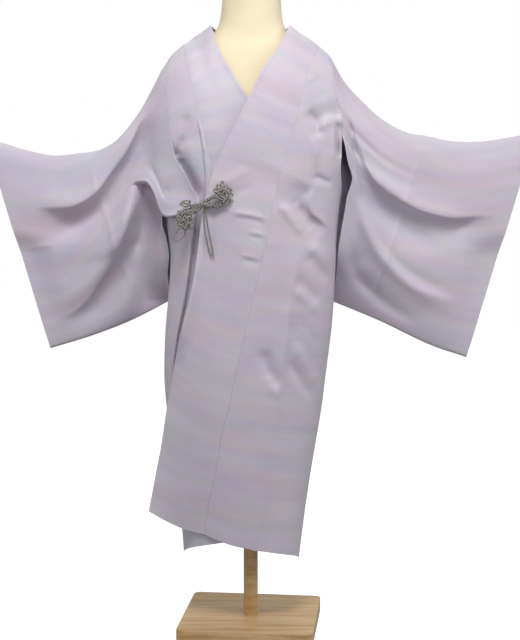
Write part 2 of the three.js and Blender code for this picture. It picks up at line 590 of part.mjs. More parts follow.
function sleevePoint(side, layer, s, t) {
  const along = (rows, at) => new THREE.Vector2(lookUp(rows, "s", at, "x"), lookUp(rows, "s", at, "z"));
  const [top, bottom] = [along(SLEEVE_TOP[side], s), along(SLEEVE_BOTTOM[side], s)];
  const inner = sleeveInner(side, layer, t);
  const [topStart, bottomStart] = [sleeveInner(side, layer, 0), sleeveInner(side, layer, 1)];
  // Between the top fold, the bottom seam and the straight cuff. The way the inner edge strays from a
  // straight line dies out within the first part of the sleeve.
  const stray = (1 - s) ** STRAY;
  const x = mix(top.x, bottom.x, t) + (inner.x - mix(topStart.x, bottomStart.x, t)) * stray;
  const z = mix(top.y, bottom.y, t) + (inner.z - mix(topStart.z, bottomStart.z, t)) * stray;
  const sign = layer === "front" ? -1 : 1;
  const fill = (at) => {
    const cuffShut = mix(1, 0, smooth((at - 0.8) * 6) * smooth((t - 0.42) * 8));
    const bulge = Math.sin(Math.PI * Math.min(1, t * 1.6 + 0.02) * 0.5) ** 0.6 * (1 - t) ** 0.7;
    const rounded = Math.min(1, Math.sqrt(t * 12)) * Math.min(1, Math.sqrt((1 - t) * 12));
    const half = SLEEVE_FLAT * rounded + lookUp(SLEEVE_FILL, "s", at, "half") * bulge * cuffShut;
    return mix(0, lookUp(SLEEVE_FILL, "s", at, "low"), t ** 1.3) + sign * half;
  };
  const hold = (1 - s) ** 3.2;
  let y = fill(s) + (inner.y - fill(0)) * hold;
  const away = smooth(s * 7) * smooth(t * 9) * smooth((1 - t) * 7);
  const side_ = side + "Sleeve" + (layer === "front" ? "Front" : "Back");
  const shut = 1 - 0.75 * smooth((s - 0.75) * 4);
  y -= sign * foldPush(FOLDS[side_], x, z) * away * shut;
  if (side === "right" && layer === "front") y += pouchStep(x, z) * smooth(s * 12);
  return new THREE.Vector3(x, y, z);
}

function pouchStep(x, z) {
  const { distance, along, side } = nearest(POUCH.line, x, z);
  const fade = smooth(along * 5) * smooth((1 - along) * 8 + 0.35);
  return side * POUCH.lift * smooth(distance / POUCH.width) * Math.exp(-distance / POUCH.reach) * fade;
}

function sleeveGrid(side, body) {
  const columns = [...Array(SLEEVE_COLUMNS + 1)].map((_, j) => j / SLEEVE_COLUMNS);
  const rows = [];
  for (let i = 0; i <= SLEEVE_ROWS; i++)
    rows.push(columns.map((s) => sleevePoint(side, "front", s, i / SLEEVE_ROWS)));
  for (let i = SLEEVE_ROWS - 1; i > 0; i--)
    rows.push(columns.map((s) => sleevePoint(side, "back", s, i / SLEEVE_ROWS)));
  for (let i = -SLEEVE_SEWN_ROWS.back; i <= SLEEVE_SEWN_ROWS[side]; i++) {
    const at = (k) => body[RIDGE_ROW - k][BODY_COLUMNS];
    const last = i === -SLEEVE_SEWN_ROWS.back || i === SLEEVE_SEWN_ROWS[side];
    parted(rows[(i + rows.length) % rows.length], at(i + 1).clone().sub(at(i - 1)), CURVED_SEAM * (last ? 2 : 1));
  }
  return rows;
}

// ---- tie cords ----------------------------------------------------------------------------------
function solidOf(geometry) {
  const bare = new THREE.BufferGeometry().setAttribute("position", geometry.getAttribute("position"));
  if (geometry.index) bare.setIndex(geometry.index);
  const merged = mergeVertices(bare, 1e-3);
  const vertProperties = new Float32Array(merged.attributes.position.array);
  return new wasm.Manifold(new wasm.Mesh({ numProp: 3, vertProperties, triVerts: new Uint32Array(merged.index.array) }));
}

function geometryOf(solid) {
  const mesh = solid.getMesh();
  return new THREE.BufferGeometry()
    .setAttribute("position", new THREE.BufferAttribute(new Float32Array(mesh.vertProperties), 3))
    .setIndex(new THREE.BufferAttribute(new Uint32Array(mesh.triVerts), 1));
}

// A loop of cord: a flattened ring, standing in front of the cloth and tipped alternately.
function cordLoop({ x, z, long, wide, deg }, i) {
  const loop = new THREE.TorusGeometry(1, CORD / 2 / wide, 4, 9);
  loop.scale(long, wide, wide);
  loop.rotateY(radians(i % 2 ? 8 : -8));
  loop.rotateZ(radians(deg));
  loop.rotateX(Math.PI / 2);
  loop.translate(x, KNOT_DEPTH - (i % 3) * 1.2, z);
  return solidOf(loop);
}

// A short round bar from one point to the next, for the wrapped middle of a knot.
function cordBar([ax, ay, az], [bx, by, bz], radius) {
  const [from, to] = [new THREE.Vector3(ax, ay, az), new THREE.Vector3(bx, by, bz)];
  const along = to.clone().sub(from);
  const bar = new THREE.CapsuleGeometry(radius, along.length(), 2, 6);
  bar.applyQuaternion(new THREE.Quaternion().setFromUnitVectors(new THREE.Vector3(0, 1, 0), along.normalize()));
  bar.translate(...from.add(to).multiplyScalar(0.5).toArray());
  return solidOf(bar);
}

// A flower knot: its loops, held together by a wrapped middle that runs through `core` (x, z points).
function flowerKnot(loops, core, radius = KNOT_CORE) {
  const bars = core.slice(1).map((to, i) =>
    cordBar([core[i][0], KNOT_DEPTH, core[i][1]], [to[0], KNOT_DEPTH, to[1]], radius));
  return geometryOf([...loops.map(cordLoop), ...bars].reduce((whole, part) => whole.add(part)).simplify(0.7));
}

function hangingEnd(points) {
  const path = new THREE.CatmullRomCurve3(points.map(({ x, y, z }) => new THREE.Vector3(x, y, z)));
  const section = new THREE.Shape().absarc(0, 0, CORD * 0.4, 0, 2 * Math.PI);
  return new THREE.ExtrudeGeometry(section, { steps: 9, curveSegments: 6, bevelEnabled: false, extrudePath: path });
}

// ---- dress form ---------------------------------------------------------------------------------
function formTorso() {
  const count = 24;
  const rings = FORM_RINGS.map(({ z, half, front, back, x }) =>
    [...Array(count)].map((_, i) => {
      const turn = (2 * Math.PI * i) / count;
      const [c, s] = [Math.cos(turn), Math.sin(turn)];
      const power = 0.9;
      return new THREE.Vector3(
        x + half * Math.sign(c) * Math.abs(c) ** power,
        (s > 0 ? back : front) * Math.sign(s) * Math.abs(s) ** power,
        z,
      );
    }),
  );
  return skin(rings);
}

function formPole() {
  const length = POLE.top - BASE.height - 2 * SEAM;
  const pole = new THREE.CylinderGeometry(POLE.radius, POLE.radius, length, 20);
  return pole.rotateX(Math.PI / 2).translate(0, 0, BASE.height + SEAM + length / 2);
}

function formBase() {
  const { width, depth, height, corner } = BASE;
  const [w, d] = [width / 2, depth / 2];
  const outline = new THREE.Shape();
  outline.absarc(w - corner, -d + corner, corner, -Math.PI / 2, 0);
  outline.absarc(w - corner, d - corner, corner, 0, Math.PI / 2);
  outline.absarc(-w + corner, d - corner, corner, Math.PI / 2, Math.PI);
  outline.absarc(-w + corner, -d + corner, corner, Math.PI, 1.5 * Math.PI);
  return new THREE.ExtrudeGeometry(outline, { depth: height, bevelEnabled: false, curveSegments: 5 });
}

// ---- the object ---------------------------------------------------------------------------------
const materials = {
  cloth: new THREE.MeshStandardMaterial({ color: COLOURS.cloth, roughness: 0.62, metalness: 0 }),
  cord: new THREE.MeshStandardMaterial({ color: COLOURS.cord, roughness: 0.5, metalness: 0 }),
  form: new THREE.MeshStandardMaterial({ color: COLOURS.form, roughness: 0.8, metalness: 0 }),
  wood: new THREE.MeshStandardMaterial({ color: COLOURS.wood, roughness: 0.45, metalness: 0 }),
};

const coat = new THREE.Group();
function piece(name, geometry, material) {
  const mesh = new THREE.Mesh(geometry, materials[material]);
  mesh.name = name;
  coat.add(mesh);
  return mesh;
}

const grids = {};
for (const side of ["right", "left"]) {
  const body = bodyGrid(side);
  grids[side] = { body, collar: collarGrid(side, body), sleeve: sleeveGrid(side, body) };
}

// Both edges of a seam slant the same way: the body's edge leans halfway to its neighbour, and the
// collar and the sleeve take that slant over. A sleeve's rows run down its front and up its back.
for (const side of ["right", "left"]) {
  const { body, collar, sleeve } = grids[side];
  const other = grids[side === "right" ? "left" : "right"].body;
  const out = side === "right" ? 1 : -1;
  const nape = RIDGE_ROW + NECK_ROWS;
  const sewn = (i) => i >= RIDGE_ROW - SLEEVE_SEWN_ROWS[side] && i <= RIDGE_ROW + SLEEVE_SEWN_ROWS.back;
  const sleeveRow = (i) => (RIDGE_ROW - i + sleeve.length) % sleeve.length;
  const bodyWays = outwards(body, {
    out,
    beside: (i, j) => {
      if (j < 0) return i < nape ? collar[i][1] : other[i][1];
      if (j <= BODY_COLUMNS || !body[i]) return undefined;
      return sewn(i) ? sleeve[sleeveRow(i)][1] : body[body.length - 1 - i][BODY_COLUMNS - 1];
    },
  });
  bodyWays[nape][0] = collar[nape][1].clone().sub(body[nape + 1][0])
    .cross(new THREE.Vector3(-1, 0, 0)).normalize();
  const collarWays = outwards(collar, { out: -out });
  collarWays.forEach((ways, i) => (ways[0] = bodyWays[i][0]));
  collarWays[nape].forEach((way) => way.setX(0).normalize());
  const sleeveWays = outwards(sleeve, { out, closed: true });
  body.forEach((_, i) => {
    if (sewn(i)) sleeveWays[sleeveRow(i)][0] = bodyWays[i][BODY_COLUMNS];
  });
  piece("body_" + side, wall(body, bodyWays, { out }), "cloth");
  piece("collar_" + side, wall(collar, collarWays, { out: -out }), "cloth");
  piece("sleeve_" + side, wall(sleeve, sleeveWays, { out, closed: true }), "cloth");
}
piece("tie_knot_front", flowerKnot(FRONT_KNOT, FRONT_CORE), "cord");
piece("tie_knot_side", flowerKnot(SIDE_KNOT, SIDE_CORE), "cord");
piece("tie_join", flowerKnot([], TIE_JOIN.core, TIE_JOIN.radius), "cord");
for (const [name, points] of Object.entries(HANGING_ENDS)) piece(name, hangingEnd(points), "cord");
piece("form_torso", formTorso(), "form");
piece("form_pole", formPole(), "wood");
piece("form_base", formBase(), "wood").rotation.z = BASE.turn;

export default coat;
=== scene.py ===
import json
import math

import bpy
import numpy as np
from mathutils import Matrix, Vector

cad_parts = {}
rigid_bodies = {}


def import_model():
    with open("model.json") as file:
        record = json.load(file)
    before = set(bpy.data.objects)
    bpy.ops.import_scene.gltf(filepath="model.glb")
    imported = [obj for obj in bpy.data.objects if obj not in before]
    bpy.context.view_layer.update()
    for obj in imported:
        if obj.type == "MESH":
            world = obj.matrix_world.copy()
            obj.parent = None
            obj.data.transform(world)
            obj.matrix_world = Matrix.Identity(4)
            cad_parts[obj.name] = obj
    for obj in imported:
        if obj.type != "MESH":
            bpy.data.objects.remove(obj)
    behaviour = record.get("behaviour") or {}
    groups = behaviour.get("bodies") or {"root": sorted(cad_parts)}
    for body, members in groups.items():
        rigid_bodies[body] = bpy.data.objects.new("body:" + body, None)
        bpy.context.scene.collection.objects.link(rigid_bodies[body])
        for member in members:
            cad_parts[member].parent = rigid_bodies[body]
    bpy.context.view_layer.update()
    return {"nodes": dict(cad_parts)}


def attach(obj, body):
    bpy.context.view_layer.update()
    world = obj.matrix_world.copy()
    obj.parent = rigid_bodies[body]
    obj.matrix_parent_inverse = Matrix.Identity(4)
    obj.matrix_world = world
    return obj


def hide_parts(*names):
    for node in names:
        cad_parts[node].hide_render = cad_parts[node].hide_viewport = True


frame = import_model()
MM = 0.001


def add_object(name, data):
    made = bpy.data.objects.new(name, data)
    bpy.context.scene.collection.objects.link(made)
    return made


for node in bpy.data.objects:
    node.select_set(False)

# ---- camera and lights ----------------------------------------------------------------------------
EYE = Vector((0.021, -3.0, 1.03))
PITCH_DOWN = math.atan(150 / 1360)

camera_data = bpy.data.cameras.new("camera")
camera_data.sensor_fit = "VERTICAL"
camera_data.sensor_height = 36
camera_data.lens = 76.5
camera_data.clip_end = 50
camera = add_object("camera", camera_data)
camera.location = EYE
camera.rotation_euler = (math.pi / 2 - PITCH_DOWN, 0, 0)
bpy.context.scene.camera = camera


def soft_light(name, place, aim, size, power, colour=(1.0, 0.99, 0.985)):
    data = bpy.data.lights.new(name, "AREA")
    data.shape = "DISK"
    data.size = size
    data.energy = power
    data.color = colour
    lamp = add_object(name, data)
    lamp.location = place
    lamp.rotation_euler = (Vector(aim) - Vector(place)).to_track_quat("-Z", "Y").to_euler()


soft_light("key", (-0.05, -1.5, 2.8), (0, 0, 1.25), 0.8, 39, (1.0, 0.985, 0.975))
soft_light("fill_front", (1.2, -3.4, 1.9), (0, 0, 1.15), 1.6, 6)
soft_light("fill_side", (2.6, -1.0, 1.8), (0.1, 0, 1.1), 1.2, 18)
soft_light("fill_other", (-2.5, -1.2, 1.7), (-0.1, 0, 1.1), 1.2, 8)
soft_light("back", (0.0, 2.0, 2.6), (0, 0, 1.2), 1.6, 16, (1.0, 1.0, 1.0))


# ---- shader groups, materials, the room and its floor ---------------------------------------------
class Graph:
    """A node tree with short ways to add and join nodes."""

    def __init__(self, tree):
        self.tree = tree

    def add(self, kind, **settings):
        node = self.tree.nodes.new(kind)
        for name, value in settings.items():
            setattr(node, name, value)
        return node

    def join(self, source, target):
        self.tree.links.new(source, target)

    def feed(self, socket, value):
        if isinstance(value, bpy.types.NodeSocket):
            self.join(value, socket)
        else:
            socket.default_value = value

    def cloth_uv(self):
        return self.add("ShaderNodeUVMap", uv_map="cloth").outputs["UV"]

    def object_place(self):
        return self.add("ShaderNodeTexCoord").outputs["Object"]

    def seen_directly(self):
        return self.add("ShaderNodeLightPath").outputs["Is Camera Ray"]

    def maths(self, operation, a, b=0.0, c=0.5):
        node = self.add("ShaderNodeMath", operation=operation)
        for socket, value in zip(node.inputs, (a, b, c)):
            self.feed(socket, value)
        return node.outputs[0]

    def scaled(self, vector, scale, shift=(0, 0, 0)):
        node = self.add("ShaderNodeMapping")
        node.inputs["Scale"].default_value = scale
        node.inputs["Location"].default_value = shift
        self.join(vector, node.inputs["Vector"])
        return node.outputs["Vector"]

    def noise(self, vector, scale, detail=2.0, roughness=0.5, shift=(0, 0, 0)):
        """Noise whose scale is one number, or one for each axis."""
        if isinstance(scale, tuple):
            vector, scale = self.scaled(vector, scale, shift), 1.0
        node = self.add("ShaderNodeTexNoise")
        self.join(vector, node.inputs["Vector"])
        for name, value in (("Scale", scale), ("Detail", detail), ("Roughness", roughness)):
            node.inputs[name].default_value = value
        return node.outputs["Fac"]

    def ramp(self, value, *stops):
        """Colours, or greys where a stop is one number, at places from 0 to 1."""
        node = self.add("ShaderNodeValToRGB")
        band = node.color_ramp
        while len(band.elements) < len(stops):
            band.elements.new(0.5)
        for element, (at, colour) in zip(band.elements, stops):
            element.position = at
            element.color = (*colour, 1) if isinstance(colour, tuple) else (colour, colour, colour, 1)
        self.join(value, node.inputs["Fac"])
        return node.outputs["Color"]

    def blend(self, share, a, b, how="MIX"):
        node = self.add("ShaderNodeMix", data_type="RGBA", blend_type=how)
        for socket, value in zip((0, 6, 7), (share, a, b)):
            self.feed(node.inputs[socket], value)
        return node.outputs[2]


def group(name, inputs, outputs):
    """A shader node group with named sockets: a Graph on it, its input sockets and its output node."""
    tree = bpy.data.node_groups.new(name, "ShaderNodeTree")
    for label, kind, value in inputs:
        socket = tree.interface.new_socket(name=label, in_out="INPUT", socket_type=kind)
        if value is not None:
            socket.default_value = value
    for label, kind in outputs:
        tree.interface.new_socket(name=label, in_out="OUTPUT", socket_type=kind)
    graph = Graph(tree)
    return graph, graph.add("NodeGroupInput").outputs, graph.add("NodeGroupOutput").inputs


def fine_weave_group():
    """Threads that cross at right angles: a height that runs from 0 to 1."""
    g, given, out = group(
        "fine_weave",
        [("Vector", "NodeSocketVector", None), ("Threads", "NodeSocketFloat", 900.0)],
        [("Height", "NodeSocketFloat")],
    )
    counted = g.add("ShaderNodeVectorMath", operation="SCALE")
    g.join(given["Vector"], counted.inputs[0])
    g.join(given["Threads"], counted.inputs["Scale"])
    split = g.add("ShaderNodeSeparateXYZ")
    g.join(counted.outputs[0], split.inputs[0])
    warp = g.maths("SINE", split.outputs["X"])
    weft = g.maths("SINE", split.outputs["Y"])
    crossing = g.maths("MULTIPLY", warp, weft)
    g.join(g.maths("MULTIPLY_ADD", crossing, 0.5, 0.5), out["Height"])
    return g.tree


def placed(graph, tree, **values):
    """A node group put into a graph; gives its outputs."""
    node = graph.add("ShaderNodeGroup")
    node.node_tree = tree
    for name, value in values.items():
        graph.feed(node.inputs[name], value)
    return node.outputs


def new_material(name, **principled):
    material = bpy.data.materials.new(name)
    material.use_nodes = True
    g = Graph(material.node_tree)
    shader = material.node_tree.nodes["Principled BSDF"]
    for socket, value in principled.items():
        shader.inputs[socket.replace("_", " ")].default_value = value
    return material, g, shader.inputs


def bumped(g, shader, height, strength, distance):
    bump = g.add("ShaderNodeBump")
    bump.inputs["Strength"].default_value = strength
    bump.inputs["Distance"].default_value = distance
    g.join(height, bump.inputs["Height"])
    g.join(bump.outputs["Normal"], shader["Normal"])


LAVENDER = (0.580, 0.528, 0.632)
PINK = (0.610, 0.512, 0.580)
ROSE_GREY = (0.562, 0.486, 0.545)
BLUE_GREY = (0.520, 0.532, 0.592)
PALE_GREEN = (0.578, 0.568, 0.572)
VIOLET = (0.545, 0.487, 0.615)


def silk_material(weave):
    """Lavender silk: soft colour bands that run with the weft, fine ribs, a low sheen."""
    material, g, shader = new_material(
        "lavender_silk", Sheen_Weight=0.2, Sheen_Roughness=0.45, Specular_IOR_Level=0.3
    )
    uv = g.cloth_uv()
    wander = g.noise(uv, (3, 3, 1), 1.0)
    lift = g.add("ShaderNodeCombineXYZ")
    g.join(g.maths("MULTIPLY", wander, 0.05), lift.inputs["Y"])
    lifted = g.add("ShaderNodeVectorMath", operation="ADD")
    g.join(uv, lifted.inputs[0])
    g.join(lift.outputs[0], lifted.inputs[1])
    place = lifted.outputs[0]
    bands = g.noise(place, (2.2, 15, 1), 1.2, 0.45)
    tints = g.noise(place, (2.8, 11, 1), 1.6, 0.5, (7.3, 2.1, 0))
    clouds = g.noise(place, (4.5, 24, 1), 2.0, 0.5, (3.1, 8.4, 0))
    streaks = g.noise(place, (14, 210, 1), 2.0, 0.6, (1.7, 5.9, 0))
    base = g.ramp(
        bands, (0.30, PINK), (0.40, LAVENDER), (0.47, BLUE_GREY), (0.53, LAVENDER), (0.60, PINK),
        (0.70, VIOLET),
    )
    tint = g.ramp(
        tints, (0.32, BLUE_GREY), (0.43, VIOLET), (0.50, PALE_GREEN), (0.57, LAVENDER), (0.66, ROSE_GREY)
    )
    colour = g.blend(0.5, base, tint)
    cloud = g.ramp(clouds, (0.35, (0.955, 0.95, 0.955)), (0.65, (1.035, 1.035, 1.03)))
    colour = g.blend(1.0, colour, cloud, "MULTIPLY")
    light = g.ramp(streaks, (0.3, 0.975), (0.7, 1.02))
    g.join(g.blend(1.0, colour, light, "MULTIPLY"), shader["Base Color"])
    threads = placed(g, weave, Vector=uv, Threads=5200.0)["Height"]
    ribs = g.noise(uv, (60, 900, 1), 2.0, 0.6)
    slack = g.noise(uv, (22, 16, 1))
    g.join(g.maths("MULTIPLY_ADD", ribs, 0.16, 0.42), shader["Roughness"])
    height = g.maths("ADD", g.maths("MULTIPLY", threads, 0.10), g.maths("MULTIPLY", ribs, 0.12))
    height = g.maths("ADD", height, g.maths("MULTIPLY", slack, 0.9))
    bumped(g, shader, height, 0.55, 0.0012)
    return material


def cord_material(weave):
    """Braided silk cord: greenish grey with random light flecks, painted shade in the gaps between strands
    and a painted highlight where a strand comes up.
    """
    material, g, shader = new_material(
        "braided_cord", Sheen_Weight=0.2, Sheen_Roughness=0.4, Specular_IOR_Level=0.4
    )
    uv = g.cloth_uv()
    strands = placed(g, weave, Vector=g.scaled(uv, (1.05, 1, 1)), Threads=1500.0)["Height"]
    flecks = g.noise(uv, (260, 330, 1), 2.0, 0.6)
    # Painted shade and painted highlight: low strand height turns near black and high strand height turns
    # light; the flecks add random tone.
    up = g.maths("ADD", g.maths("MULTIPLY", strands, 0.55), g.maths("MULTIPLY", flecks, 0.75))
    colour = g.ramp(
        up, (0.20, (0.010, 0.010, 0.009)), (0.43, (0.052, 0.050, 0.044)),
        (0.61, (0.145, 0.140, 0.124)), (0.82, (0.52, 0.50, 0.46)),
    )
    g.join(colour, shader["Base Color"])
    g.join(g.ramp(flecks, (0.3, 0.62), (0.7, 0.42)), shader["Roughness"])
    bumped(g, shader, strands, 0.6, 0.0005)
    return material


def form_material(weave):
    """Cream jersey over the dress form."""
    material, g, shader = new_material("form_jersey", Sheen_Weight=0.15, Sheen_Roughness=0.5)
    place = g.object_place()
    cloudy = g.noise(place, 9.0, 3.0)
    g.join(g.ramp(cloudy, (0.3, (0.76, 0.65, 0.44)), (0.7, (0.84, 0.74, 0.53))), shader["Base Color"])
    g.join(g.ramp(cloudy, (0.3, 0.72), (0.7, 0.84)), shader["Roughness"])
    grain = g.noise(place, 900.0, 2.0, 0.6)
    threads = placed(g, weave, Vector=place, Threads=4200.0)["Height"]
    height = g.maths("ADD", g.maths("MULTIPLY", grain, 0.5), g.maths("MULTIPLY", threads, 0.5))
    bumped(g, shader, height, 0.35, 0.0006)
    return material


def wood_material():
    """Varnished pale wood, grain along X."""
    material, g, shader = new_material(
        "stand_wood", Coat_Weight=0.3, Coat_Roughness=0.25, Specular_IOR_Level=0.45
    )
    place = g.object_place()
    grain = g.noise(place, (3.5, 46, 60), 5.0, 0.6)
    pores = g.noise(place, (14, 420, 420), 2.0, 0.6)
    colour = g.ramp(
        grain, (0.28, (0.38, 0.22, 0.09)), (0.45, (0.56, 0.36, 0.16)),
        (0.6, (0.66, 0.46, 0.23)), (0.75, (0.58, 0.38, 0.18)),
    )
    dark = g.ramp(pores, (0.3, (0.78, 0.75, 0.7)), (0.5, 1))
    g.join(g.blend(0.7, colour, dark, "MULTIPLY"), shader["Base Color"])
    g.join(g.ramp(grain, (0.3, 0.5), (0.7, 0.36)), shader["Roughness"])
    bumped(g, shader, pores, 0.25, 0.0004)
    return material


def floor_material():
    """Pale and matt; it throws little light back up under the coat."""
    material, g, shader = new_material(
        "pale_floor", Roughness=0.8, Specular_IOR_Level=0.2, Emission_Color=(1, 1, 1, 1)
    )
    pale = g.ramp(g.noise(g.object_place(), 1.3), (0.3, 0.80), (0.7, 0.84))
    seen = g.seen_directly()
    g.join(g.blend(seen, (0.42, 0.42, 0.42, 1), pale), shader["Base Color"])
    g.join(g.maths("MULTIPLY", seen, 0.7), shader["Emission Strength"])
    return material


def white_room():
    """Seen as white; it lights the coat more softly than it looks."""
    world = bpy.data.worlds.new("pale_room")
    world.use_nodes = True
    g = Graph(world.node_tree)
    background = world.node_tree.nodes["Background"].inputs
    background["Color"].default_value = (1.0, 1.0, 1.0, 1)
    strength = g.add("ShaderNodeMapRange")
    strength.inputs["To Min"].default_value = 0.36
    strength.inputs["To Max"].default_value = 1.0
    g.join(g.seen_directly(), strength.inputs["Value"])
    g.join(strength.outputs["Result"], background["Strength"])
    bpy.context.scene.world = world


WEAVE = fine_weave_group()
SILK = silk_material(WEAVE)
CORD = cord_material(WEAVE)
JERSEY = form_material(WEAVE)
WOOD = wood_material()
FLOOR = floor_material()
white_room()
bpy.context.scene.view_settings.view_transform = "Standard"

bpy.ops.mesh.primitive_plane_add(size=14, location=(0, 2, -0.0005))
floor = bpy.context.object
floor.name = "floor"
bpy.ops.object.transform_apply(location=True, rotation=True, scale=True)
floor.data.materials.append(FLOOR)

# ---- driving dimensions of the coat, as in the part -----------------------------------------------
SEAM = 0.3  # gap between two pieces at a straight seam
CURVED_SEAM = 0.7  # and at a curved one
LAP = {"left": 3.2, "right": -5}  # how far outside the shell each front lies where they overlap
LAP_EDGE = {"x": 150, "fade": 90}  # where that offset ends, at each side
UNDER_COLLAR_DROP = 3  # how much deeper the under collar lies at its free edge
ARMPIT_Z = 1060
ROUND = 2.3  # 2 would make the rings ellipses; above it they are squarer
COLLAR_BACK = {"x": 85, "y": 120, "z": 1341, "drop": 18}  # its free edge behind the neck
NAPE_DEG = 136  # where the collar's seam crosses the middle of the back, over the arch
BACK_STEPS = [90, 100, 110, 120, 128, 136, 150, 165, 180]  # degrees over the arch, ridge to armpit
FRONT_STEP = 15  # degrees from one of the armhole's steps to the next, ridge to armpit
SLEEVE_ROWS = 20
SEWN = {"right": 5, "left": 5, "back": 7}  # steps of the armhole that are sewn to the body
STRAY = 2.4  # how soon a sleeve's rows run straight, away from the armhole
HOLD = 3.2  # how soon their depth lets go of the armhole's
SLEEVE_FLAT = 4.5  # half a sleeve's thickness where its layers lie together
FLARE = {"from": 780, "to": 900, "pull": 0.45}
SILK_THICK = 1.5


def table(columns, rows):
    return dict(zip(columns.split(), np.array(rows, float).T))


RINGS = table("z right left front back", [
    [140, -148, 104, 92, 98], [250, -156, 118, 98, 104], [340, -168, 131, 106, 110],
    [420, -177, 144, 112, 116], [500, -186, 157, 118, 122], [575, -191, 166, 122, 126],
    [675, -188, 178, 126, 130], [740, -182, 183, 127, 134], [825, -176, 187, 128, 139],
    [885, -182, 191, 129, 141], [955, -190, 199, 129, 139], [1010, -202, 210, 127, 136],
    [1060, -216, 222, 125, 132],
])
RIDGE = table("x z", [
    [0, 1365], [40, 1360], [84, 1342], [104, 1326], [127, 1311], [146, 1298], [171, 1276], [186, 1254],
    [196, 1238], [206, 1215], [226, 1160],
])
COLLAR_SEAM = {
    "right": table("z x", [
        [180, 0], [300, -5], [500, -15], [700, -30], [800, -40], [900, -52], [961, -62], [1024, -76],
        [1064, -89], [1118, -101], [1170, -114], [1235, -129], [1298, -146],
    ]),
    "left": table("z x", [
        [155, -112], [251, -97], [309, -89], [366, -76], [458, -61], [525, -45], [593, -31], [657, -17],
        [777, 10], [862, 30], [961, 49], [1013, 61], [1078, 78], [1134, 97], [1213, 114], [1298, 146],
    ]),
}
ARMHOLE = {
    "rightFront": table("z x", [[1060, -161], [1125, -171], [1190, -181], [1238, -196]]),
    "rightBack": table("z x", [[1060, -198], [1150, -197], [1238, -196]]),
    "leftFront": table("z x", [[1060, 196], [1138, 197], [1163, 190], [1191, 180], [1225, 177], [1266, 178]]),
    "leftBack": table("z x", [[1060, 198], [1150, 192], [1225, 181], [1266, 178]]),
}
SLIT = {"rightFront": 880, "rightBack": 900, "leftFront": 900, "leftBack": 900}
FREE_EDGE = {
    "right": table("z x", [
        [200, 92], [300, 100], [500, 116], [700, 112], [800, 105], [900, 94], [1024, 66], [1095, 42],
        [1140, 20], [1185, -6], [1233, -35], [1283, -64], [1341, -85],
    ]),
    "left": table("z x", [
        [286, -223], [365, -208], [430, -195], [518, -181], [557, -173], [618, -162], [689, -147],
        [755, -130], [836, -113], [961, -95], [999, -84], [1034, -74], [1084, -53], [1132, -28],
        [1176, -5], [1211, 11], [1242, 27], [1285, 57], [1341, 85],
    ]),
}
FREE_EDGE_DEPTH = table("z y", [
    [286, -78], [365, -76], [430, -76], [518, -80], [557, -84], [618, -92], [689, -102], [755, -110],
    [836, -116],
])
HEM = {
    "right": table("u z", [[0, 226], [0.3, 214], [0.6, 200], [1, 174]]),
    "left": table("u z", [[0, 236], [0.3, 208], [0.55, 192], [0.8, 176], [1, 160]]),
    "rightBack": table("u z", [[0, 167], [1, 174]]),
    "leftBack": table("u z", [[0, 167], [1, 160]]),
}
COLLAR_HEM = {"right": 246, "left": 286}
SLEEVE_TOP = {
    "right": table("s x z", [
        [0, -196, 1238], [0.1, -218, 1196], [0.22, -246, 1149], [0.36, -290, 1096], [0.46, -330, 1073],
        [0.56, -372, 1066], [0.7, -430, 1061], [0.82, -484, 1071], [0.92, -535, 1086], [1, -576, 1097],
    ]),
    "left": table("s x z", [
        [0, 178, 1266], [0.1, 203, 1222], [0.22, 243, 1178], [0.36, 290, 1137], [0.48, 340, 1111],
        [0.58, 385, 1103], [0.7, 440, 1092], [0.82, 503, 1091], [0.92, 565, 1100], [1, 620, 1110],
    ]),
}
SLEEVE_BOTTOM = {
    "right": table("s x z", [[0, -176, 741], [0.35, -269, 695], [0.68, -358, 662], [1, -446, 636]]),
    "left": table("s x z", [[0, 182, 737], [0.35, 288, 695], [0.7, 400, 643], [1, 481, 616]]),
}
SLEEVE_OPENING = {
    ("right", "front"): [
        [0.3, -159, -100, 1061], [0.37, -141, -118, 1030], [0.44, -125, -126, 998],
        [0.51, -112, -129, 968], [0.535, -124, -126, 946], [0.56, -150, -116, 934],
        [0.58, -174, -92, 935], [0.6, -187, -66, 937], [0.65, -190, -42, 912], [0.71, -182, -40, 884],
        [0.79, -177, -34, 846], [0.88, -182, -4, 800], [1, -176, 62, 741],
    ],
    ("right", "back"): [
        [0.4, -200, 70, 1062], [0.5, -176, 100, 1005], [0.65, -180, 96, 930], [0.82, -177, 82, 840],
        [1, -176, 73, 741],
    ],
    ("left", "front"): [
        [0.3, 202, -72, 1084], [0.37, 208, -66, 1050], [0.45, 219, -52, 1012], [0.53, 209, -50, 974],
        [0.6, 203, -46, 936], [0.68, 197, -42, 900], [0.79, 191, -28, 850], [0.9, 190, 12, 800],
        [1, 182, 60, 737],
    ],
    ("left", "back"): [
        [0.4, 200, 71, 1062], [0.5, 200, 96, 1005], [0.65, 198, 92, 930], [0.82, 190, 82, 840],
        [1, 182, 71, 737],
    ],
}
SLEEVE_FILL = table("s half low", [
    [0, 84, 66], [0.12, 68, 56], [0.28, 48, 42], [0.5, 34, 26], [0.75, 27, 14], [1, 24, 6],
])
POUCH_ROW = 0.56  # the row of the sleeve's front that runs along the lower edge of its pouch
POUCH_LIFT = table("s z", [
    [0, 0], [0.05, 9], [0.1, 18], [0.13, 32], [0.155, 58], [0.18, 84], [0.205, 104], [0.235, 119],
    [0.27, 127], [0.31, 134], [0.36, 130], [0.45, 104], [0.6, 56], [0.8, 14], [1, 0],
])
POUCH_SPREAD = table("t x", [
    [0, -196], [0.3, -165], [0.42, -148], [0.5, -142], [0.56, -148], [0.62, -162], [0.72, -177], [1, -176],
])
RECESS = table("z y", [
    [741, 62], [765, 40], [800, -4], [846, -34], [884, -40], [912, -42], [940, -48], [1010, -54],
])
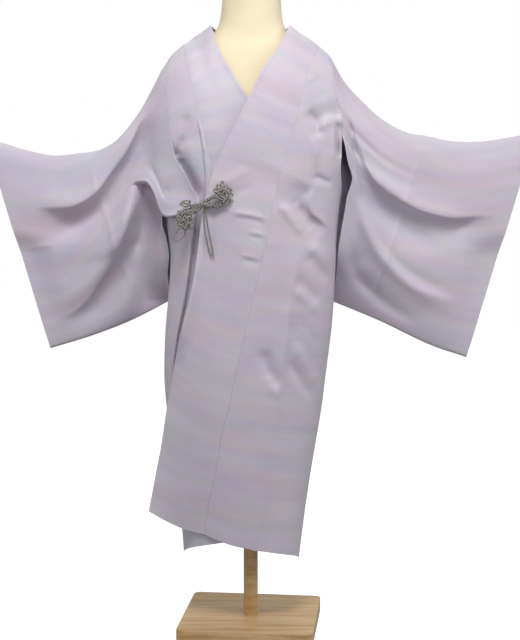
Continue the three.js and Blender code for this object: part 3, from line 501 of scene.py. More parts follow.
# Where the pouch's hollow starts to fade, over what reach, how far its lower edge stands out, and how much
# deeper the hollow is close behind that edge.
POUCH = {"x": -200, "reach": 44, "over": 12, "behind": 20}


# Folds lie along lines of x, z points. Each is its line and a profile: the push into the cloth at a distance
# from the line, on a side of it (1 is the right hand, going along it) and at a share of its length.
def ends(along, first, last):
    """Fades in over 1 / first of the line and out over 1 / last of it."""
    return smooth(along * first) * smooth((1 - along) * last)


def fold(push, width, *line):
    """A soft trough, or a ridge where the push is below 0."""
    kept = 0.15  # of the push, at both ends of the line

    def profile(distance, side, along):
        return push * (np.exp(-((distance / width) ** 2)) * (kept + (1 - kept) * ends(along, 4, 4)))
    return np.array(line, float), profile


def crease(push, width, *line):
    """A pressed or pulled fold with a sharp middle."""
    rounding = 0.6

    def profile(distance, side, along):
        return push * (np.exp(-np.sqrt(distance**2 + rounding) / width) * ends(along, 4, 4))
    return np.array(line, float), profile


def tuck(push, rise, width, *line):
    """A step: the cloth lies back on the line's left hand and stands up on its right hand."""
    step_width, rise_width = 7, 11

    def profile(distance, side, along):
        back = smooth(0.5 - side * distance / step_width)
        step = mix(-rise * np.exp(-distance / rise_width), push * np.exp(-distance / width), back)
        return step * ends(along, 6, 5)
    return np.array(line, float), profile


def lip(push, width, *line):
    """An edge: the cloth falls back on the line's left hand, deepest `width` away from it."""
    def profile(distance, side, along):
        away = distance / width
        return push * away * np.exp(1 - away) * (side < 0) * ends(along, 4, 4)
    return np.array(line, float), profile


FOLDS = {
    "rightSleeveFront": [
        fold(-9, 30, (-236, 1130), (-262, 1080), (-295, 1030), (-330, 983), (-370, 956), (-415, 952),
            (-480, 962)),
        fold(12, 28, (-205, 1180), (-222, 1125), (-252, 1070), (-285, 1012), (-320, 955), (-362, 918),
            (-415, 900), (-480, 908)),
        lip(18, 20, (-224, 1172), (-238, 1137), (-269, 1072), (-306, 1021), (-337, 980), (-380, 953),
            (-423, 947), (-480, 950)),
        fold(-4, 14, (-238, 1137), (-269, 1072), (-306, 1023), (-337, 983), (-380, 957), (-430, 952)),
        fold(-7, 26, (-240, 985), (-266, 930), (-300, 870), (-340, 810), (-390, 760), (-450, 735)),
        lip(22, 38, (-230, 1004), (-250, 955), (-269, 905), (-294, 850), (-325, 798), (-361, 745),
            (-399, 714), (-448, 704)),
        fold(10, 20, (-221, 985), (-224, 940), (-238, 890), (-262, 836)),
        fold(-5, 15, (-232, 1000), (-258, 950), (-278, 905), (-304, 852), (-334, 802), (-370, 752)),
        fold(4, 11, (-192, 975), (-180, 986), (-170, 990)),
        crease(-2.4, 4, (-508, 852), (-470, 862), (-425, 868)),
        crease(-3.4, 5, (-349, 1071), (-345, 1035), (-339, 997), (-324, 950), (-307, 905), (-293, 850),
            (-270, 785), (-250, 715)),
    ],
    "leftSleeveFront": [
        fold(-8, 30, (236, 1055), (266, 1008), (307, 974), (346, 950), (390, 932), (440, 926), (490, 930)),
        fold(10, 28, (200, 1190), (216, 1130), (230, 1070), (250, 1010), (290, 945), (350, 892),
            (405, 870), (470, 868)),
        lip(19, 20, (560, 930), (500, 930), (443, 926), (373, 941), (321, 969), (268, 1010), (236, 1077),
            (221, 1127), (203, 1186)),
        fold(-4, 16, (221, 1127), (236, 1077), (268, 1014), (321, 974), (373, 946), (443, 931)),
        fold(-8, 28, (232, 985), (248, 935), (270, 880), (302, 826), (346, 780), (405, 750), (462, 725)),
        fold(6, 26, (212, 880), (236, 806), (278, 748), (330, 700), (372, 664)),
        fold(-6, 13, (226, 996), (242, 940), (262, 882), (290, 838), (330, 796), (380, 762), (430, 742)),
        fold(6, 14, (212, 872), (236, 800), (278, 750), (326, 712), (380, 690)),
        fold(6, 40, (214, 965), (222, 890), (232, 800)),
        fold(4, 14, (268, 925), (294, 865), (336, 815), (398, 778), (458, 752)),
        crease(-3.4, 5, (381, 1103), (367, 1054), (350, 1005), (336, 950), (322, 900), (304, 850),
            (288, 800), (272, 750), (258, 700)),
    ],
    "rightSleeveBack": [
        fold(11, 34, (-240, 1120), (-300, 1010), (-380, 930), (-470, 920)),
        fold(-9, 32, (-225, 1040), (-290, 930), (-400, 830), (-470, 800)),
        fold(7, 30, (-240, 900), (-290, 800), (-350, 700)),
        fold(5, 12, (-232, 1130), (-290, 1022), (-370, 945), (-460, 930)),
        fold(-5, 13, (-232, 1078), (-286, 972), (-380, 884), (-470, 858)),
        crease(-1.6, 5, (-349, 1071), (-339, 997), (-307, 917), (-293, 829), (-263, 750), (-248, 701)),
    ],
    "leftSleeveBack": [
        fold(11, 34, (240, 1120), (310, 1010), (400, 930), (510, 920)),
        fold(-9, 32, (225, 1040), (300, 930), (410, 830), (500, 790)),
        fold(7, 30, (240, 900), (300, 790), (360, 700)),
        fold(5, 12, (236, 1130), (300, 1022), (390, 945), (500, 932)),
        fold(-5, 13, (232, 1078), (296, 972), (396, 884), (496, 852)),
        crease(-1.6, 5, (381, 1103), (359, 1032), (344, 974), (329, 930), (311, 875), (294, 827),
            (272, 777), (255, 715)),
    ],
    "rightFront": [
        fold(5, 14, (-134, 1150), (-136, 1110), (-140, 1082)),
        fold(22, 17, (-162, 1070), (-147, 1040), (-133, 1012), (-121, 984), (-111, 956)),
        fold(9, 9, (-170, 1046), (-157, 1062), (-147, 1080), (-138, 1102)),
        tuck(3.5, 6, 14, (-98, 955), (-97, 975), (-94, 1010), (-97, 1050), (-104, 1100), (-112, 1140)),
        tuck(18, 28, 30, (-108, 978), (-113, 945), (-118, 914), (-122, 880), (-126, 845), (-132, 800),
            (-141, 745), (-155, 680), (-165, 615), (-173, 556)),
    ],
    "leftFront": [
        fold(6, 16, (130, 1225), (146, 1200), (160, 1176)),
        lip(15, 13, (140, 1112), (156, 1128), (174, 1137), (194, 1132)),
        fold(-6, 9, (109, 1170), (124, 1134), (135, 1098), (138, 1060), (137, 1024)),
        fold(-4, 9, (146, 1112), (158, 1128), (174, 1135), (192, 1132)),
        fold(-4, 9, (177, 1130), (179, 1080), (180, 1010)),
        fold(16, 8, (187, 1140), (190, 1110), (192, 1050)),
        fold(12, 14, (118, 1156), (134, 1124), (147, 1094)),
        fold(7, 8, (132, 1019), (152, 1010), (176, 1001)),
        fold(5, 18, (98, 960), (117, 932), (138, 902)),
        fold(-4, 16, (116, 893), (93, 808), (85, 741), (73, 645), (54, 524), (35, 365), (12, 221),
            (-10, 80)),
        fold(5, 20, (88, 735), (108, 640), (150, 560)),
        fold(8, 15, (24, 655), (40, 604), (62, 560)),
        fold(-4, 10, (34, 596), (62, 545)),
        crease(-3.6, 5, (120, 915), (113, 888), (105, 851), (95, 812), (86, 741), (73, 645), (54, 524),
            (35, 365), (12, 221), (-10, 80)),
        lip(10, 17, (173, 903), (147, 926), (130, 941), (125, 965), (139, 997)),
        fold(-3, 9, (139, 997), (125, 965), (130, 941), (147, 927), (171, 905)),
        fold(3, 12, (88, 970), (106, 950), (122, 932)),
        fold(-5, 10, (59, 961), (88, 929), (115, 890)),
        fold(5.5, 13, (114, 852), (138, 828), (170, 790)),
        fold(-6, 12, (128, 873), (150, 851), (170, 819)),
        fold(5.5, 13, (92, 804), (118, 780), (152, 742)),
        fold(-5.5, 13, (96, 784), (118, 757), (150, 724)),
        fold(-8, 12, (92, 668), (118, 616), (150, 560)),
        fold(7, 10, (78, 632), (104, 582), (140, 530)),
        fold(2.6, 10, (100, 722), (156, 642)),
    ],
    "rightBack": [
        fold(8, 28, (-150, 1120), (-120, 1010), (-110, 880)),
        fold(-5, 26, (-60, 980), (-55, 800), (-50, 560)),
        fold(7, 26, (-120, 760), (-112, 560), (-100, 330)),
        fold(3, 10, (-128, 960), (-96, 925), (-70, 905)),
        fold(-2.6, 9, (-132, 925), (-100, 893), (-76, 872)),
        crease(-2.2, 5, (-92, 900), (-90, 740), (-86, 560), (-82, 420)),
    ],
    "leftBack": [
        fold(8, 28, (150, 1120), (124, 1010), (112, 880)),
        fold(-5, 26, (56, 940), (52, 760), (46, 520)),
        fold(7, 26, (118, 720), (104, 520), (84, 300)),
        fold(3, 10, (132, 955), (100, 922), (72, 902)),
        fold(-2.6, 9, (136, 920), (104, 890), (78, 868)),
        crease(-2.2, 5, (96, 900), (88, 740), (78, 560), (66, 420)),
    ],
    "leftCollar": [
        crease(-1.8, 3.5, (60, 1285), (30, 1242), (14, 1211), (-2, 1176), (-22, 1140)),
        fold(3, 12, (-28, 1132), (-53, 1084), (-74, 1034), (-84, 999)),
        fold(-17, 15, (-90, 985), (-100, 940), (-107, 895), (-112, 850), (-120, 800), (-134, 735),
            (-150, 670), (-162, 600)),
        crease(-3.4, 4.5, (-46, 942), (-31, 940), (6, 935), (42, 925), (52, 922)),
        fold(1.8, 6, (-34, 931), (4, 926), (36, 916)),
        crease(-2.6, 4, (-8, 902), (1, 900), (40, 893), (50, 890)),
        fold(1.4, 5, (-4, 891), (38, 883)),
        crease(-3.0, 4.5, (-26, 853), (-14, 851), (26, 842), (36, 839)),
        fold(1.6, 6, (-16, 842), (24, 833)),
        fold(3.4, 12, (-5, 610), (18, 578), (40, 540)),
        fold(-2.0, 9, (-80, 1000), (-40, 1010), (0, 1035)),
        fold(2.0, 10, (-78, 975), (-40, 978), (10, 1000)),
    ],
    "rightCollar": [
        crease(-1.8, 3.5, (-68, 1283), (-39, 1233), (-11, 1187), (8, 1158)),
        fold(7, 45, (76, 1000), (84, 900), (88, 800), (92, 700), (92, 600), (88, 500)),
    ],
}


# ---- small mathematics: every function takes numbers or arrays ------------------------------------
def mix(a, b, t):
    return a + (b - a) * t


def smooth(t):
    t = np.clip(t, 0, 1)
    return t * t * (3 - 2 * t)


def side_sign(side):
    return -1 if side == "right" else 1


def look_up(rows, key, at, column):
    """The value in a column where the key is `at`, on a smooth curve through the table's rows."""
    keys, values = rows[key], rows[column]
    rise = np.append(values[1:], values[-1]) - np.insert(values[:-1], 0, values[0])
    run = np.append(keys[1:], keys[-1]) - np.insert(keys[:-1], 0, keys[0])
    slope = rise / run
    at = np.clip(at, keys[0], keys[-1])
    i = np.clip(np.searchsorted(keys, at, side="right") - 1, 0, len(keys) - 2)
    span = keys[i + 1] - keys[i]
    t = (at - keys[i]) / span
    h = t * t * (3 - 2 * t)
    bend = span * t * (1 - t) * ((1 - t) * slope[i] - t * slope[i + 1])
    return mix(values[i], values[i + 1], h) + bend


def points(x, y, z):
    """Places from numbers or arrays of x, y and z."""
    return np.stack(np.broadcast_arrays(np.asarray(x, float), y, z), axis=-1)


def unit(v):
    """Vectors of length 1."""
    return v / np.maximum(np.linalg.norm(v, axis=-1, keepdims=True), 1e-9)


def nearest(line, x, z):
    """Distance to a line of x, z points, and how far along it (0 to 1) and on which side the place lies."""
    spans = line[1:] - line[:-1]
    lengths = np.hypot(spans[:, 0], spans[:, 1])
    before = np.concatenate([[0], np.cumsum(lengths)[:-1]])
    best = np.full(np.shape(x), np.inf)
    along_best = np.zeros(np.shape(x))
    side_best = np.ones(np.shape(x))
    for (ax, az), (dx, dz), length, start in zip(line, spans / lengths[:, None], lengths, before):
        along = np.clip((x - ax) * dx + (z - az) * dz, 0, length)
        distance = np.hypot(x - ax - dx * along, z - az - dz * along)
        nearer = distance < best
        best = np.where(nearer, distance, best)
        along_best = np.where(nearer, (start + along) / lengths.sum(), along_best)
        side_best = np.where(nearer, np.where((x - ax) * dz - (z - az) * dx >= 0, 1, -1), side_best)
    return best, along_best, side_best


def smooth_path(rows, at):
    """Points on a smooth curve through the rows, at these places counted in rows."""
    rows = np.asarray(rows, float)
    keys = np.arange(len(rows), dtype=float)
    columns = [look_up({"t": keys, "v": values}, "t", at, "v") for values in rows.T]
    return np.stack(columns, axis=-1)


def rounded_line(line):
    """The same line with its corners rounded."""
    at = np.linspace(0, len(line) - 1, 6 * (len(line) - 1) + 1)
    return smooth_path(line, at)


def fold_push(folds, x, z):
    """How far all the folds together push each place into the cloth."""
    total = np.zeros(np.shape(x))
    for line, profile in folds:
        distance, along, side = nearest(rounded_line(line), x, z)
        total = total + profile(distance, side, along)
    return total


def pushed(place, part, x, z, deg):
    """The same places with the part's folds in them, where it faces the front or the back."""
    place[..., 1] += fold_push(FOLDS[part], x, z) * np.cos(np.radians(deg))
    return place


# ---- the shell that the body and the collar lie on ------------------------------------------------
def ring(z):
    """Middle, half width, and reach to the front and to the back of the level ring at z."""
    right, left = look_up(RINGS, "z", z, "right"), look_up(RINGS, "z", z, "left")
    front, back = look_up(RINGS, "z", z, "front"), look_up(RINGS, "z", z, "back")
    return (left + right) / 2, (left - right) / 2, front, back


def ring_point(deg, z, off=0.0):
    """A point on a level ring: 0 is the front, 90 the wearer's left side, 180 the back."""
    centre, half, front, back = ring(z)
    s, c = np.sin(np.radians(deg)), np.cos(np.radians(deg))
    depth = np.where(c > 0, -(front + off), back + off)
    power = 2 / ROUND
    return points(centre + (half + off) * np.sign(s) * np.abs(s) ** power, depth * np.abs(c) ** power, z)


def angle_at(x, z):
    centre, half, _, _ = ring(z)
    share = np.minimum(1, np.abs(x - centre) / half)
    return np.sign(x - centre) * np.degrees(np.arcsin(share ** (ROUND / 2)))


def arch_middle(x, deg):
    _, _, front, back = ring(ARMPIT_Z)
    side = angle_at(x, ARMPIT_Z)
    reach = np.where(deg > 90, back, front) * np.abs(np.cos(np.radians(side))) ** (2 / ROUND)
    height = look_up(RIDGE, "x", np.abs(x), "z") - ARMPIT_Z
    turn = np.radians(deg)
    return points(x, -reach * np.cos(turn), ARMPIT_Z + height * np.sin(turn))


def arch_point(x, deg, off=0.0):
    """A point on the shoulder arch: 0 is the front at the armpit, 90 the ridge, 180 the back."""
    across = arch_middle(x + 1, deg) - arch_middle(x - 1, deg)
    along = arch_middle(x, deg + 0.5) - arch_middle(x, deg - 0.5)
    return arch_middle(x, deg) + unit(np.cross(across, along)) * np.asarray(off)[..., None]


def front_point(x, z, off=0.0):
    """A point on the shell's front at x, z, `off` outside it."""
    x, z, off = np.broadcast_arrays(np.asarray(x, float), z, off)
    height = look_up(RIDGE, "x", np.abs(x), "z") - ARMPIT_Z
    deg = np.degrees(np.arcsin(np.clip((z - ARMPIT_Z) / height, 0, 1)))
    low = (z <= ARMPIT_Z)[..., None]
    return np.where(low, ring_point(angle_at(x, z), z, off), arch_point(x, deg, off))


# ---- coat body: one length of cloth over each shoulder --------------------------------------------
BODY_COLUMNS = 80
SIDE_SEAM_DEG = 0.05  # half of the gap at a side seam, as an angle
LOW_ROWS, HIGH_ROWS = 80, 100  # from hem to armpit, front and back each, closer together from the waist up
BELOW_ROWS = LOW_ROWS + HIGH_ROWS
WAIST = 0.64  # its share of the way from hem to armpit
EVEN_FROM_Z = 930  # from here up to the armpit the columns get as even in x as they are on the arch
NECK = {"x": 146, "power": 0.8}  # half the neck opening's width at the ridge, and how round it is
SETTLE = 6  # rounds that find where a place on an edge that is given by height meets the arch
RISE = np.concatenate([
    np.linspace(0, WAIST, LOW_ROWS, endpoint=False), np.linspace(WAIST, 1, HIGH_ROWS, endpoint=False),
])
ARCH_ROWS = {"to_nape": 80, "below_nape": 26}
ARCH_DEGREES = np.concatenate([
    np.linspace(0, NAPE_DEG, ARCH_ROWS["to_nape"] + 1),
    np.linspace(NAPE_DEG, 180, ARCH_ROWS["below_nape"] + 1)[1:],
])


def lap_offset(side, x):
    """How far outside the shell a front lies at x: only where the other front lies over or under it."""
    return LAP[side] * smooth((LAP_EDGE["x"] - side_sign(side) * x) / LAP_EDGE["fade"])


def outer_angle(part, z):
    """Where the side seam is at z, in degrees from the front or the back: it runs up into the armhole."""
    at_armpit = np.abs(angle_at(look_up(ARMHOLE[part], "z", ARMPIT_Z, "x"), ARMPIT_Z))
    return mix(90 - SIDE_SEAM_DEG, at_armpit, smooth((z - SLIT[part]) / (ARMPIT_Z - SLIT[part])))


def across_share(inner_x, outer_x, deg, u, z):
    """Near the armpit the columns are spread evenly in x, as they are on the arch above."""
    straight = angle_at(mix(inner_x, outer_x, u), z)
    return mix(deg, straight, smooth((z - EVEN_FROM_Z) / (ARMPIT_Z - EVEN_FROM_Z)))


def front_below(side, u, z):
    seam_x = look_up(COLLAR_SEAM[side], "z", z, "x")
    inner, outer = angle_at(seam_x, z), side_sign(side) * outer_angle(side + "Front", z)
    deg = across_share(seam_x, ring_point(outer, z)[..., 0], mix(inner, outer, u), u, z)
    x = ring_point(deg, z)[..., 0]
    place = ring_point(deg, z, lap_offset(side, x))
    return pushed(place, side + "Front", place[..., 0], z, deg)


def on_arch(inner_x_at, armhole, u, deg):
    """x and z where a share `u` of the way from the inner edge to the armhole meets the arch at `deg`."""
    z = np.full(np.broadcast(u, deg).shape, float(ARMPIT_Z))
    for _ in range(SETTLE):
        x = mix(inner_x_at(z), look_up(ARMHOLE[armhole], "z", z, "x"), u)
        z = arch_middle(x, deg)[..., 2]
    return x, z


def front_on_arch(side, u, deg):
    x, z = on_arch(lambda z: look_up(COLLAR_SEAM[side], "z", z, "x"), side + "Front", u, deg)
    place = arch_point(x, deg, lap_offset(side, x) * np.cos(np.radians(deg)))
    return pushed(place, side + "Front", x, z, deg)


def neck_seam_x(side, deg):
    """x of the collar's seam behind the ridge; it ends at the nape in the middle of the back."""
    share = np.clip((deg - 90) / (NAPE_DEG - 90), 0, 1)
    return side_sign(side) * np.maximum(SEAM / 2, NECK["x"] * np.cos(share * math.pi / 2) ** NECK["power"])


def back_on_arch(side, u, deg):
    x, z = on_arch(lambda z: neck_seam_x(side, deg), side + "Back", u, deg)
    return pushed(arch_point(x, deg), side + "Back", x, z, deg)


def back_below(side, u, z):
    sign = side_sign(side)
    outer_deg = sign * outer_angle(side + "Back", z)
    inner_x = sign * SEAM / 2
    front_deg = mix(angle_at(inner_x, z), outer_deg, u)
    deg = sign * 180 - across_share(inner_x, ring_point(outer_deg, z)[..., 0], front_deg, u, z)
    place = ring_point(deg, z)
    return pushed(place, side + "Back", place[..., 0], z, deg)


def body_grid(side):
    """Rows from the front hem up, over the shoulder and down to the back hem; columns from the collar out."""
    u = np.linspace(0, 1, BODY_COLUMNS + 1)[None, :]
    rise = RISE[:, None]
    deg = ARCH_DEGREES[:, None]
    front_hem = look_up(HEM[side], "u", u, "z")
    back_hem = look_up(HEM[side + "Back"], "u", u, "z")
    return np.concatenate([
        front_below(side, u, mix(front_hem, ARMPIT_Z, rise)),
        front_on_arch(side, u, deg[deg[:, 0] <= 90]),
        back_on_arch(side, u, deg[(deg[:, 0] > 90) & (deg[:, 0] < 180)]),
        back_below(side, u, mix(ARMPIT_Z, back_hem, 1 - np.append(RISE, 1)[::-1, None])),
    ])


# ---- collar: a wide strip from each hem up to the back of the neck --------------------------------
COLLAR_COLUMNS = 34
SEAM_TOP_Z = 1298  # where the seam of each front and its collar ends on the ridge
LAP_TOP = {"seam": 1328, "fade": 60}  # the overlap's offset fades out below these heights
CURVE = {"rows": 20, "fade": 24}  # the seam's gap gets wider from this many rows before the ridge
LOW_SEAM = {"z": 560, "fade": 160, "below": 0.9, "above": 0.4}  # shares of the gap, low down and above


def collar_front(side, seam, w):
    """The collar from hem to ridge; w runs from its seam to its free edge."""
    hem = look_up(HEM[side], "u", 0.0, "z")
    edge_z = mix(COLLAR_HEM[side], COLLAR_BACK["z"], (seam[..., 2] - hem) / (SEAM_TOP_Z - hem))
    edge_x = look_up(FREE_EDGE[side], "z", edge_z, "x")
    x, z = mix(seam[..., 0], edge_x, w), mix(seam[..., 2], edge_z, w)
    drop = UNDER_COLLAR_DROP * w if side == "right" else 0
    lap = (LAP[side] - drop) * smooth((COLLAR_BACK["z"] - z) / LAP_TOP["fade"])
    seam_lap = lap_offset(side, seam[..., 0]) * smooth((LAP_TOP["seam"] - seam[..., 2]) / LAP_TOP["fade"])
    place = front_point(x, z, mix(seam_lap, lap, smooth(w * 2)))
    place = place + (seam - front_point(seam[..., 0], seam[..., 2], seam_lap)) * (1 - w)[..., None]
    if side == "left":
        leave = smooth((FLARE["to"] - z) / (FLARE["to"] - FLARE["from"])) * (z <= FLARE["to"])
        place = mix(place, flared(seam, edge_x, edge_z, w[..., None]), leave[..., None])
    place[..., 1] += fold_push(FOLDS[side + "Collar"], place[..., 0], place[..., 2]) * smooth(w * 6)
    return place


def flared(seam, edge_x, edge_z, share):
    """The left collar where it leaves the body: it starts along the body and runs on to its free edge."""
    step = 4
    tangent = unit(front_point(seam[..., 0] - step, seam[..., 2]) - front_point(seam[..., 0], seam[..., 2]))
    edge = points(edge_x, look_up(FREE_EDGE_DEPTH, "z", edge_z, "y") - LAP["left"], edge_z)
    control = seam + tangent * np.linalg.norm(edge - seam, axis=-1, keepdims=True) * FLARE["pull"]
    return seam * (1 - share) ** 2 + control * 2 * share * (1 - share) + edge * share**2


def collar_neck(side, seam, w, share):
    """The collar behind the ridge, round to the middle of the neck's back."""
    turn = share * math.pi / 2
    edge = points(
        side_sign(side) * np.maximum(SEAM / 2, COLLAR_BACK["x"] * np.cos(turn)),
        COLLAR_BACK["y"] * np.sin(turn),
        COLLAR_BACK["z"] - COLLAR_BACK["drop"] * np.sin(turn) ** 2,
    )
    return mix(seam, edge, w[..., None])


def collar_grid(side, body):
    """Rows that go on from the body's own rows, up to the nape."""
    w = np.linspace(0, 1, COLLAR_COLUMNS + 1)[None, :]
    ridge_row = BELOW_ROWS + int(np.sum(ARCH_DEGREES < 90))
    nape_row = BELOW_ROWS + int(np.argmin(np.abs(ARCH_DEGREES - NAPE_DEG)))
    seam = body[: nape_row + 1, :1]
    neck_degrees = ARCH_DEGREES[ridge_row - BELOW_ROWS : nape_row - BELOW_ROWS + 1]
    steps = BACK_STEPS[: BACK_STEPS.index(NAPE_DEG) + 1]
    share = np.interp(neck_degrees, steps, np.linspace(0, 1, len(steps)))
    grid = np.concatenate([
        collar_front(side, seam[:ridge_row], w + 0 * seam[:ridge_row, :, 0]),
        collar_neck(side, seam[ridge_row:], w + 0 * seam[ridge_row:, :, 0], share[:, None]),
    ])
    run = np.gradient(body[:, 0], axis=0)[: nape_row + 1]
    past = np.arange(nape_row + 1) - ridge_row + CURVE["rows"]
    gap = mix(SEAM, CURVED_SEAM, smooth(past / CURVE["fade"]))
    low = 1 - smooth((seam[..., 0, 2] - LOW_SEAM["z"]) / LOW_SEAM["fade"])
    part_from_seam(grid, run, gap * mix(LOW_SEAM["above"], LOW_SEAM["below"], low))
    return grid


def part_from_seam(grid, run, gap):
    """Moves a grid's first column away from the seam it starts on, square to the seam's run."""
    across = grid[:, 1] - grid[:, 0]
    run = unit(run)
    across = across - run * np.sum(across * run, axis=-1, keepdims=True)
    grid[:, 0] += unit(across) * np.asarray(gap)[..., None]


# ---- sleeves: a bag with a top fold and a bottom seam, open to the body and at the cuff ------------
SLEEVE_COLUMNS = 120
COLUMN_CROWDING = 1.08  # above 1 the columns lie closer together at the armhole
LAYER_ROWS = 124


def armhole_point(side, layer, t):
    """A place on the armhole; the front layer's first place, on the ridge, is the back layer's too."""
    step = t * SLEEVE_ROWS
    if layer == "back":
        return back_on_arch(side, 1.0, np.interp(step, np.arange(len(BACK_STEPS)), BACK_STEPS))
    on_front = front_on_arch(side, 1.0, 90 - FRONT_STEP * step)
    return np.where((step > 0)[..., None], on_front, back_on_arch(side, 1.0, np.full(step.shape, 90.0)))


def sleeve_inner(side, layer, t):
    """Inner edge of a sleeve's layer: along the armhole, then free."""
    sewn = SEWN[side if layer == "front" else "back"] / SLEEVE_ROWS
    start = armhole_point(side, layer, np.array([sewn]))[0]
    rows = table("t x y z", [[sewn, *start], *SLEEVE_OPENING[side, layer]])
    free = points(*(look_up(rows, "t", t, column) for column in "xyz"))
    return np.where((t <= sewn)[..., None], armhole_point(side, layer, np.minimum(t, sewn)), free)


def sleeve_fill(s, t, sign):
    """Depth of a layer of the bag: half its thickness, and the drift of its middle to the back."""
    shut = 1 - smooth((s - 0.8) * 6) * smooth((t - 0.42) * 8)  # the layers meet in the cuff's lower half
    bulge = np.sin(math.pi * np.minimum(1, t * 1.6 + 0.02) * 0.5) ** 0.6 * (1 - t) ** 0.7  # fullest high up
    rounded = np.minimum(1, np.sqrt(t * 12)) * np.minimum(1, np.sqrt((1 - t) * 12))  # a twelfth at each end
    half = SLEEVE_FLAT * rounded + look_up(SLEEVE_FILL, "s", s, "half") * bulge * shut
    return look_up(SLEEVE_FILL, "s", s, "low") * t**1.3 + sign * half


def pouch_lift(s, t):
    """How far the rows are lifted, so that one of them runs along the pouch's lower edge."""
    tent = np.minimum(t / POUCH_ROW, (1 - t) / (1 - POUCH_ROW))
    hill = np.sin(math.pi * t**1.195)  # highest at the same row as the tent, but round
    past_pouch = smooth((s - 0.26) / 0.2)
    return look_up(POUCH_LIFT, "s", s, "z") * mix(tent, hill, past_pouch)


def below_pouch(s, t, x, z, y, fill, fill_at_edge):
    """The slack of the right sleeve hangs over its own lower part, which lies back in a hollow."""
    away = np.maximum(0, POUCH["x"] - x) / POUCH["reach"]
    hollow = fill + (look_up(RECESS, "z", z, "y") - fill_at_edge) * np.exp(-away)
    held = smooth(s * 16) * smooth((0.38 - s) / 0.15)  # the pouch's stretch of the sleeve
    hollow = hollow + POUCH["behind"] * np.exp(-(((t - POUCH_ROW) / 0.09) ** 2)) * held
    over = y - POUCH["over"] * np.exp(-(((POUCH_ROW - t) / 0.07) ** 2)) * held
    share = smooth((t - POUCH_ROW) / 0.014) * smooth(s * 30) * smooth((0.37 - s) / 0.14)
    return mix(over, hollow, share)


def sleeve_layer(side, layer, s, t):
    """One layer of a sleeve: s runs from the armhole to the cuff, t from the top fold to the bottom seam."""
    top = [look_up(SLEEVE_TOP[side], "s", s, c) for c in "xz"]
    low = [look_up(SLEEVE_BOTTOM[side], "s", s, c) for c in "xz"]
    inner = sleeve_inner(side, layer, t[:, 0])[:, None, :]
    first, last = (sleeve_inner(side, layer, np.array([at]))[0] for at in (0.0, 1.0))
    stray = (1 - s) ** STRAY
    inner_x = inner[..., 0]
    pouch = (side, layer) == ("right", "front")
    if pouch:
        inner_x = mix(inner_x, look_up(POUCH_SPREAD, "t", t, "x"), smooth(s / 0.13))
    x = mix(top[0], low[0], t) + (inner_x - mix(first[0], last[0], t)) * stray
    z = mix(top[1], low[1], t) + (inner[..., 2] - mix(first[2], last[2], t)) * stray
    sign = -1 if layer == "front" else 1
    lift = pouch_lift(s, t) if pouch else 0 * z
    t_flat = t - lift / (top[1] - low[1])
    z = z + lift
    held = sleeve_inner(side, layer, t_flat)[..., 1] if pouch else inner[..., 1]
    fill, fill_at_edge = sleeve_fill(s, t_flat, sign), sleeve_fill(0.0, t_flat, sign)
    y = fill + (held - fill_at_edge) * (1 - s) ** HOLD
    if pouch:
        y = below_pouch(s, t, x, z, y, fill, fill_at_edge)
    inside = smooth(s * 7) * smooth(t * 9) * smooth((1 - t) * 7)  # folds fade out at all edges but the cuff
    flatter = 1 - 0.75 * smooth((s - 0.75) * 4)  # and are a quarter as deep at the cuff
    y = y - sign * fold_push(FOLDS[side + "Sleeve" + layer.capitalize()], x, z) * inside * flatter
    return points(x, y, z)


def sleeve_grid(side):
    """Rows from the top fold down the front and up the back; columns from the armhole to the cuff."""
    s = np.linspace(0, 1, SLEEVE_COLUMNS + 1)[None, :] ** COLUMN_CROWDING
    t = np.linspace(0, 1, LAYER_ROWS + 1)[:, None]
    front = sleeve_layer(side, "front", s, t)
    back = sleeve_layer(side, "back", s, t[::-1])[1:-1]
    grid = np.concatenate([front, back])
    run = np.roll(grid[:, 0], -1, axis=0) - np.roll(grid[:, 0], 1, axis=0)
    part_from_seam(grid, run, np.full(len(grid), CURVED_SEAM))
    return grid


# ---- meshes ---------------------------------------------------------------------------------------
HEM_STEP = 0.5  # how far inside a border the extra points lie
CORD_GIRTH = 0.012  # the width of a cord's UV map, in metres
TUBE_SHIFT = 0.1  # from one tube's UV place to the next one's


def link_mesh(name, corners, faces, uv, material):
    """A smooth-shaded mesh from corners in millimetres, faces, and one UV place for each of their corners."""
    mesh = bpy.data.meshes.new(name)
    mesh.from_pydata((np.asarray(corners) * MM).tolist(), [], faces)
    mesh.update()
    for polygon in mesh.polygons:
        polygon.use_smooth = True
    mesh.uv_layers.new(name="cloth").data.foreach_set("uv", np.asarray(uv, np.float32).reshape(-1))
    mesh.materials.append(material)
    return add_object(name, mesh)


def lengths_along(grid, closed):
    """Real lengths over a grid, in metres: across its rows, and along its middle column."""
    across = np.linalg.norm(np.diff(grid, axis=1), axis=-1)
    across = np.concatenate([np.zeros((len(grid), 1)), np.cumsum(across, axis=1)], axis=1)
    middle = grid[:, grid.shape[1] // 2]
    steps = np.linalg.norm(np.diff(middle, axis=0), axis=-1)
    along = np.concatenate([[0], np.cumsum(steps)])
    if closed:
        along = np.append(along, along[-1] + np.linalg.norm(middle[0] - middle[-1]))
    return across * MM, along * MM


def hemmed(grid, closed):
    """The same grid with more columns and rows close inside its borders, which keep the rims crisp."""
    def inside(edge, next_one):
        return edge + unit(next_one - edge) * HEM_STEP
    first, last = inside(grid[:, :1], grid[:, 1:2]), inside(grid[:, -1:], grid[:, -2:-1])
    grid = np.concatenate([grid[:, :1], first, grid[:, 1:-1], last, grid[:, -1:]], axis=1)
    if closed:
        return grid
    first, last = inside(grid[:1], grid[1:2]), inside(grid[-1:], grid[-2:-1])
    return np.concatenate([grid[:1], first, grid[1:-1], last, grid[-1:]])


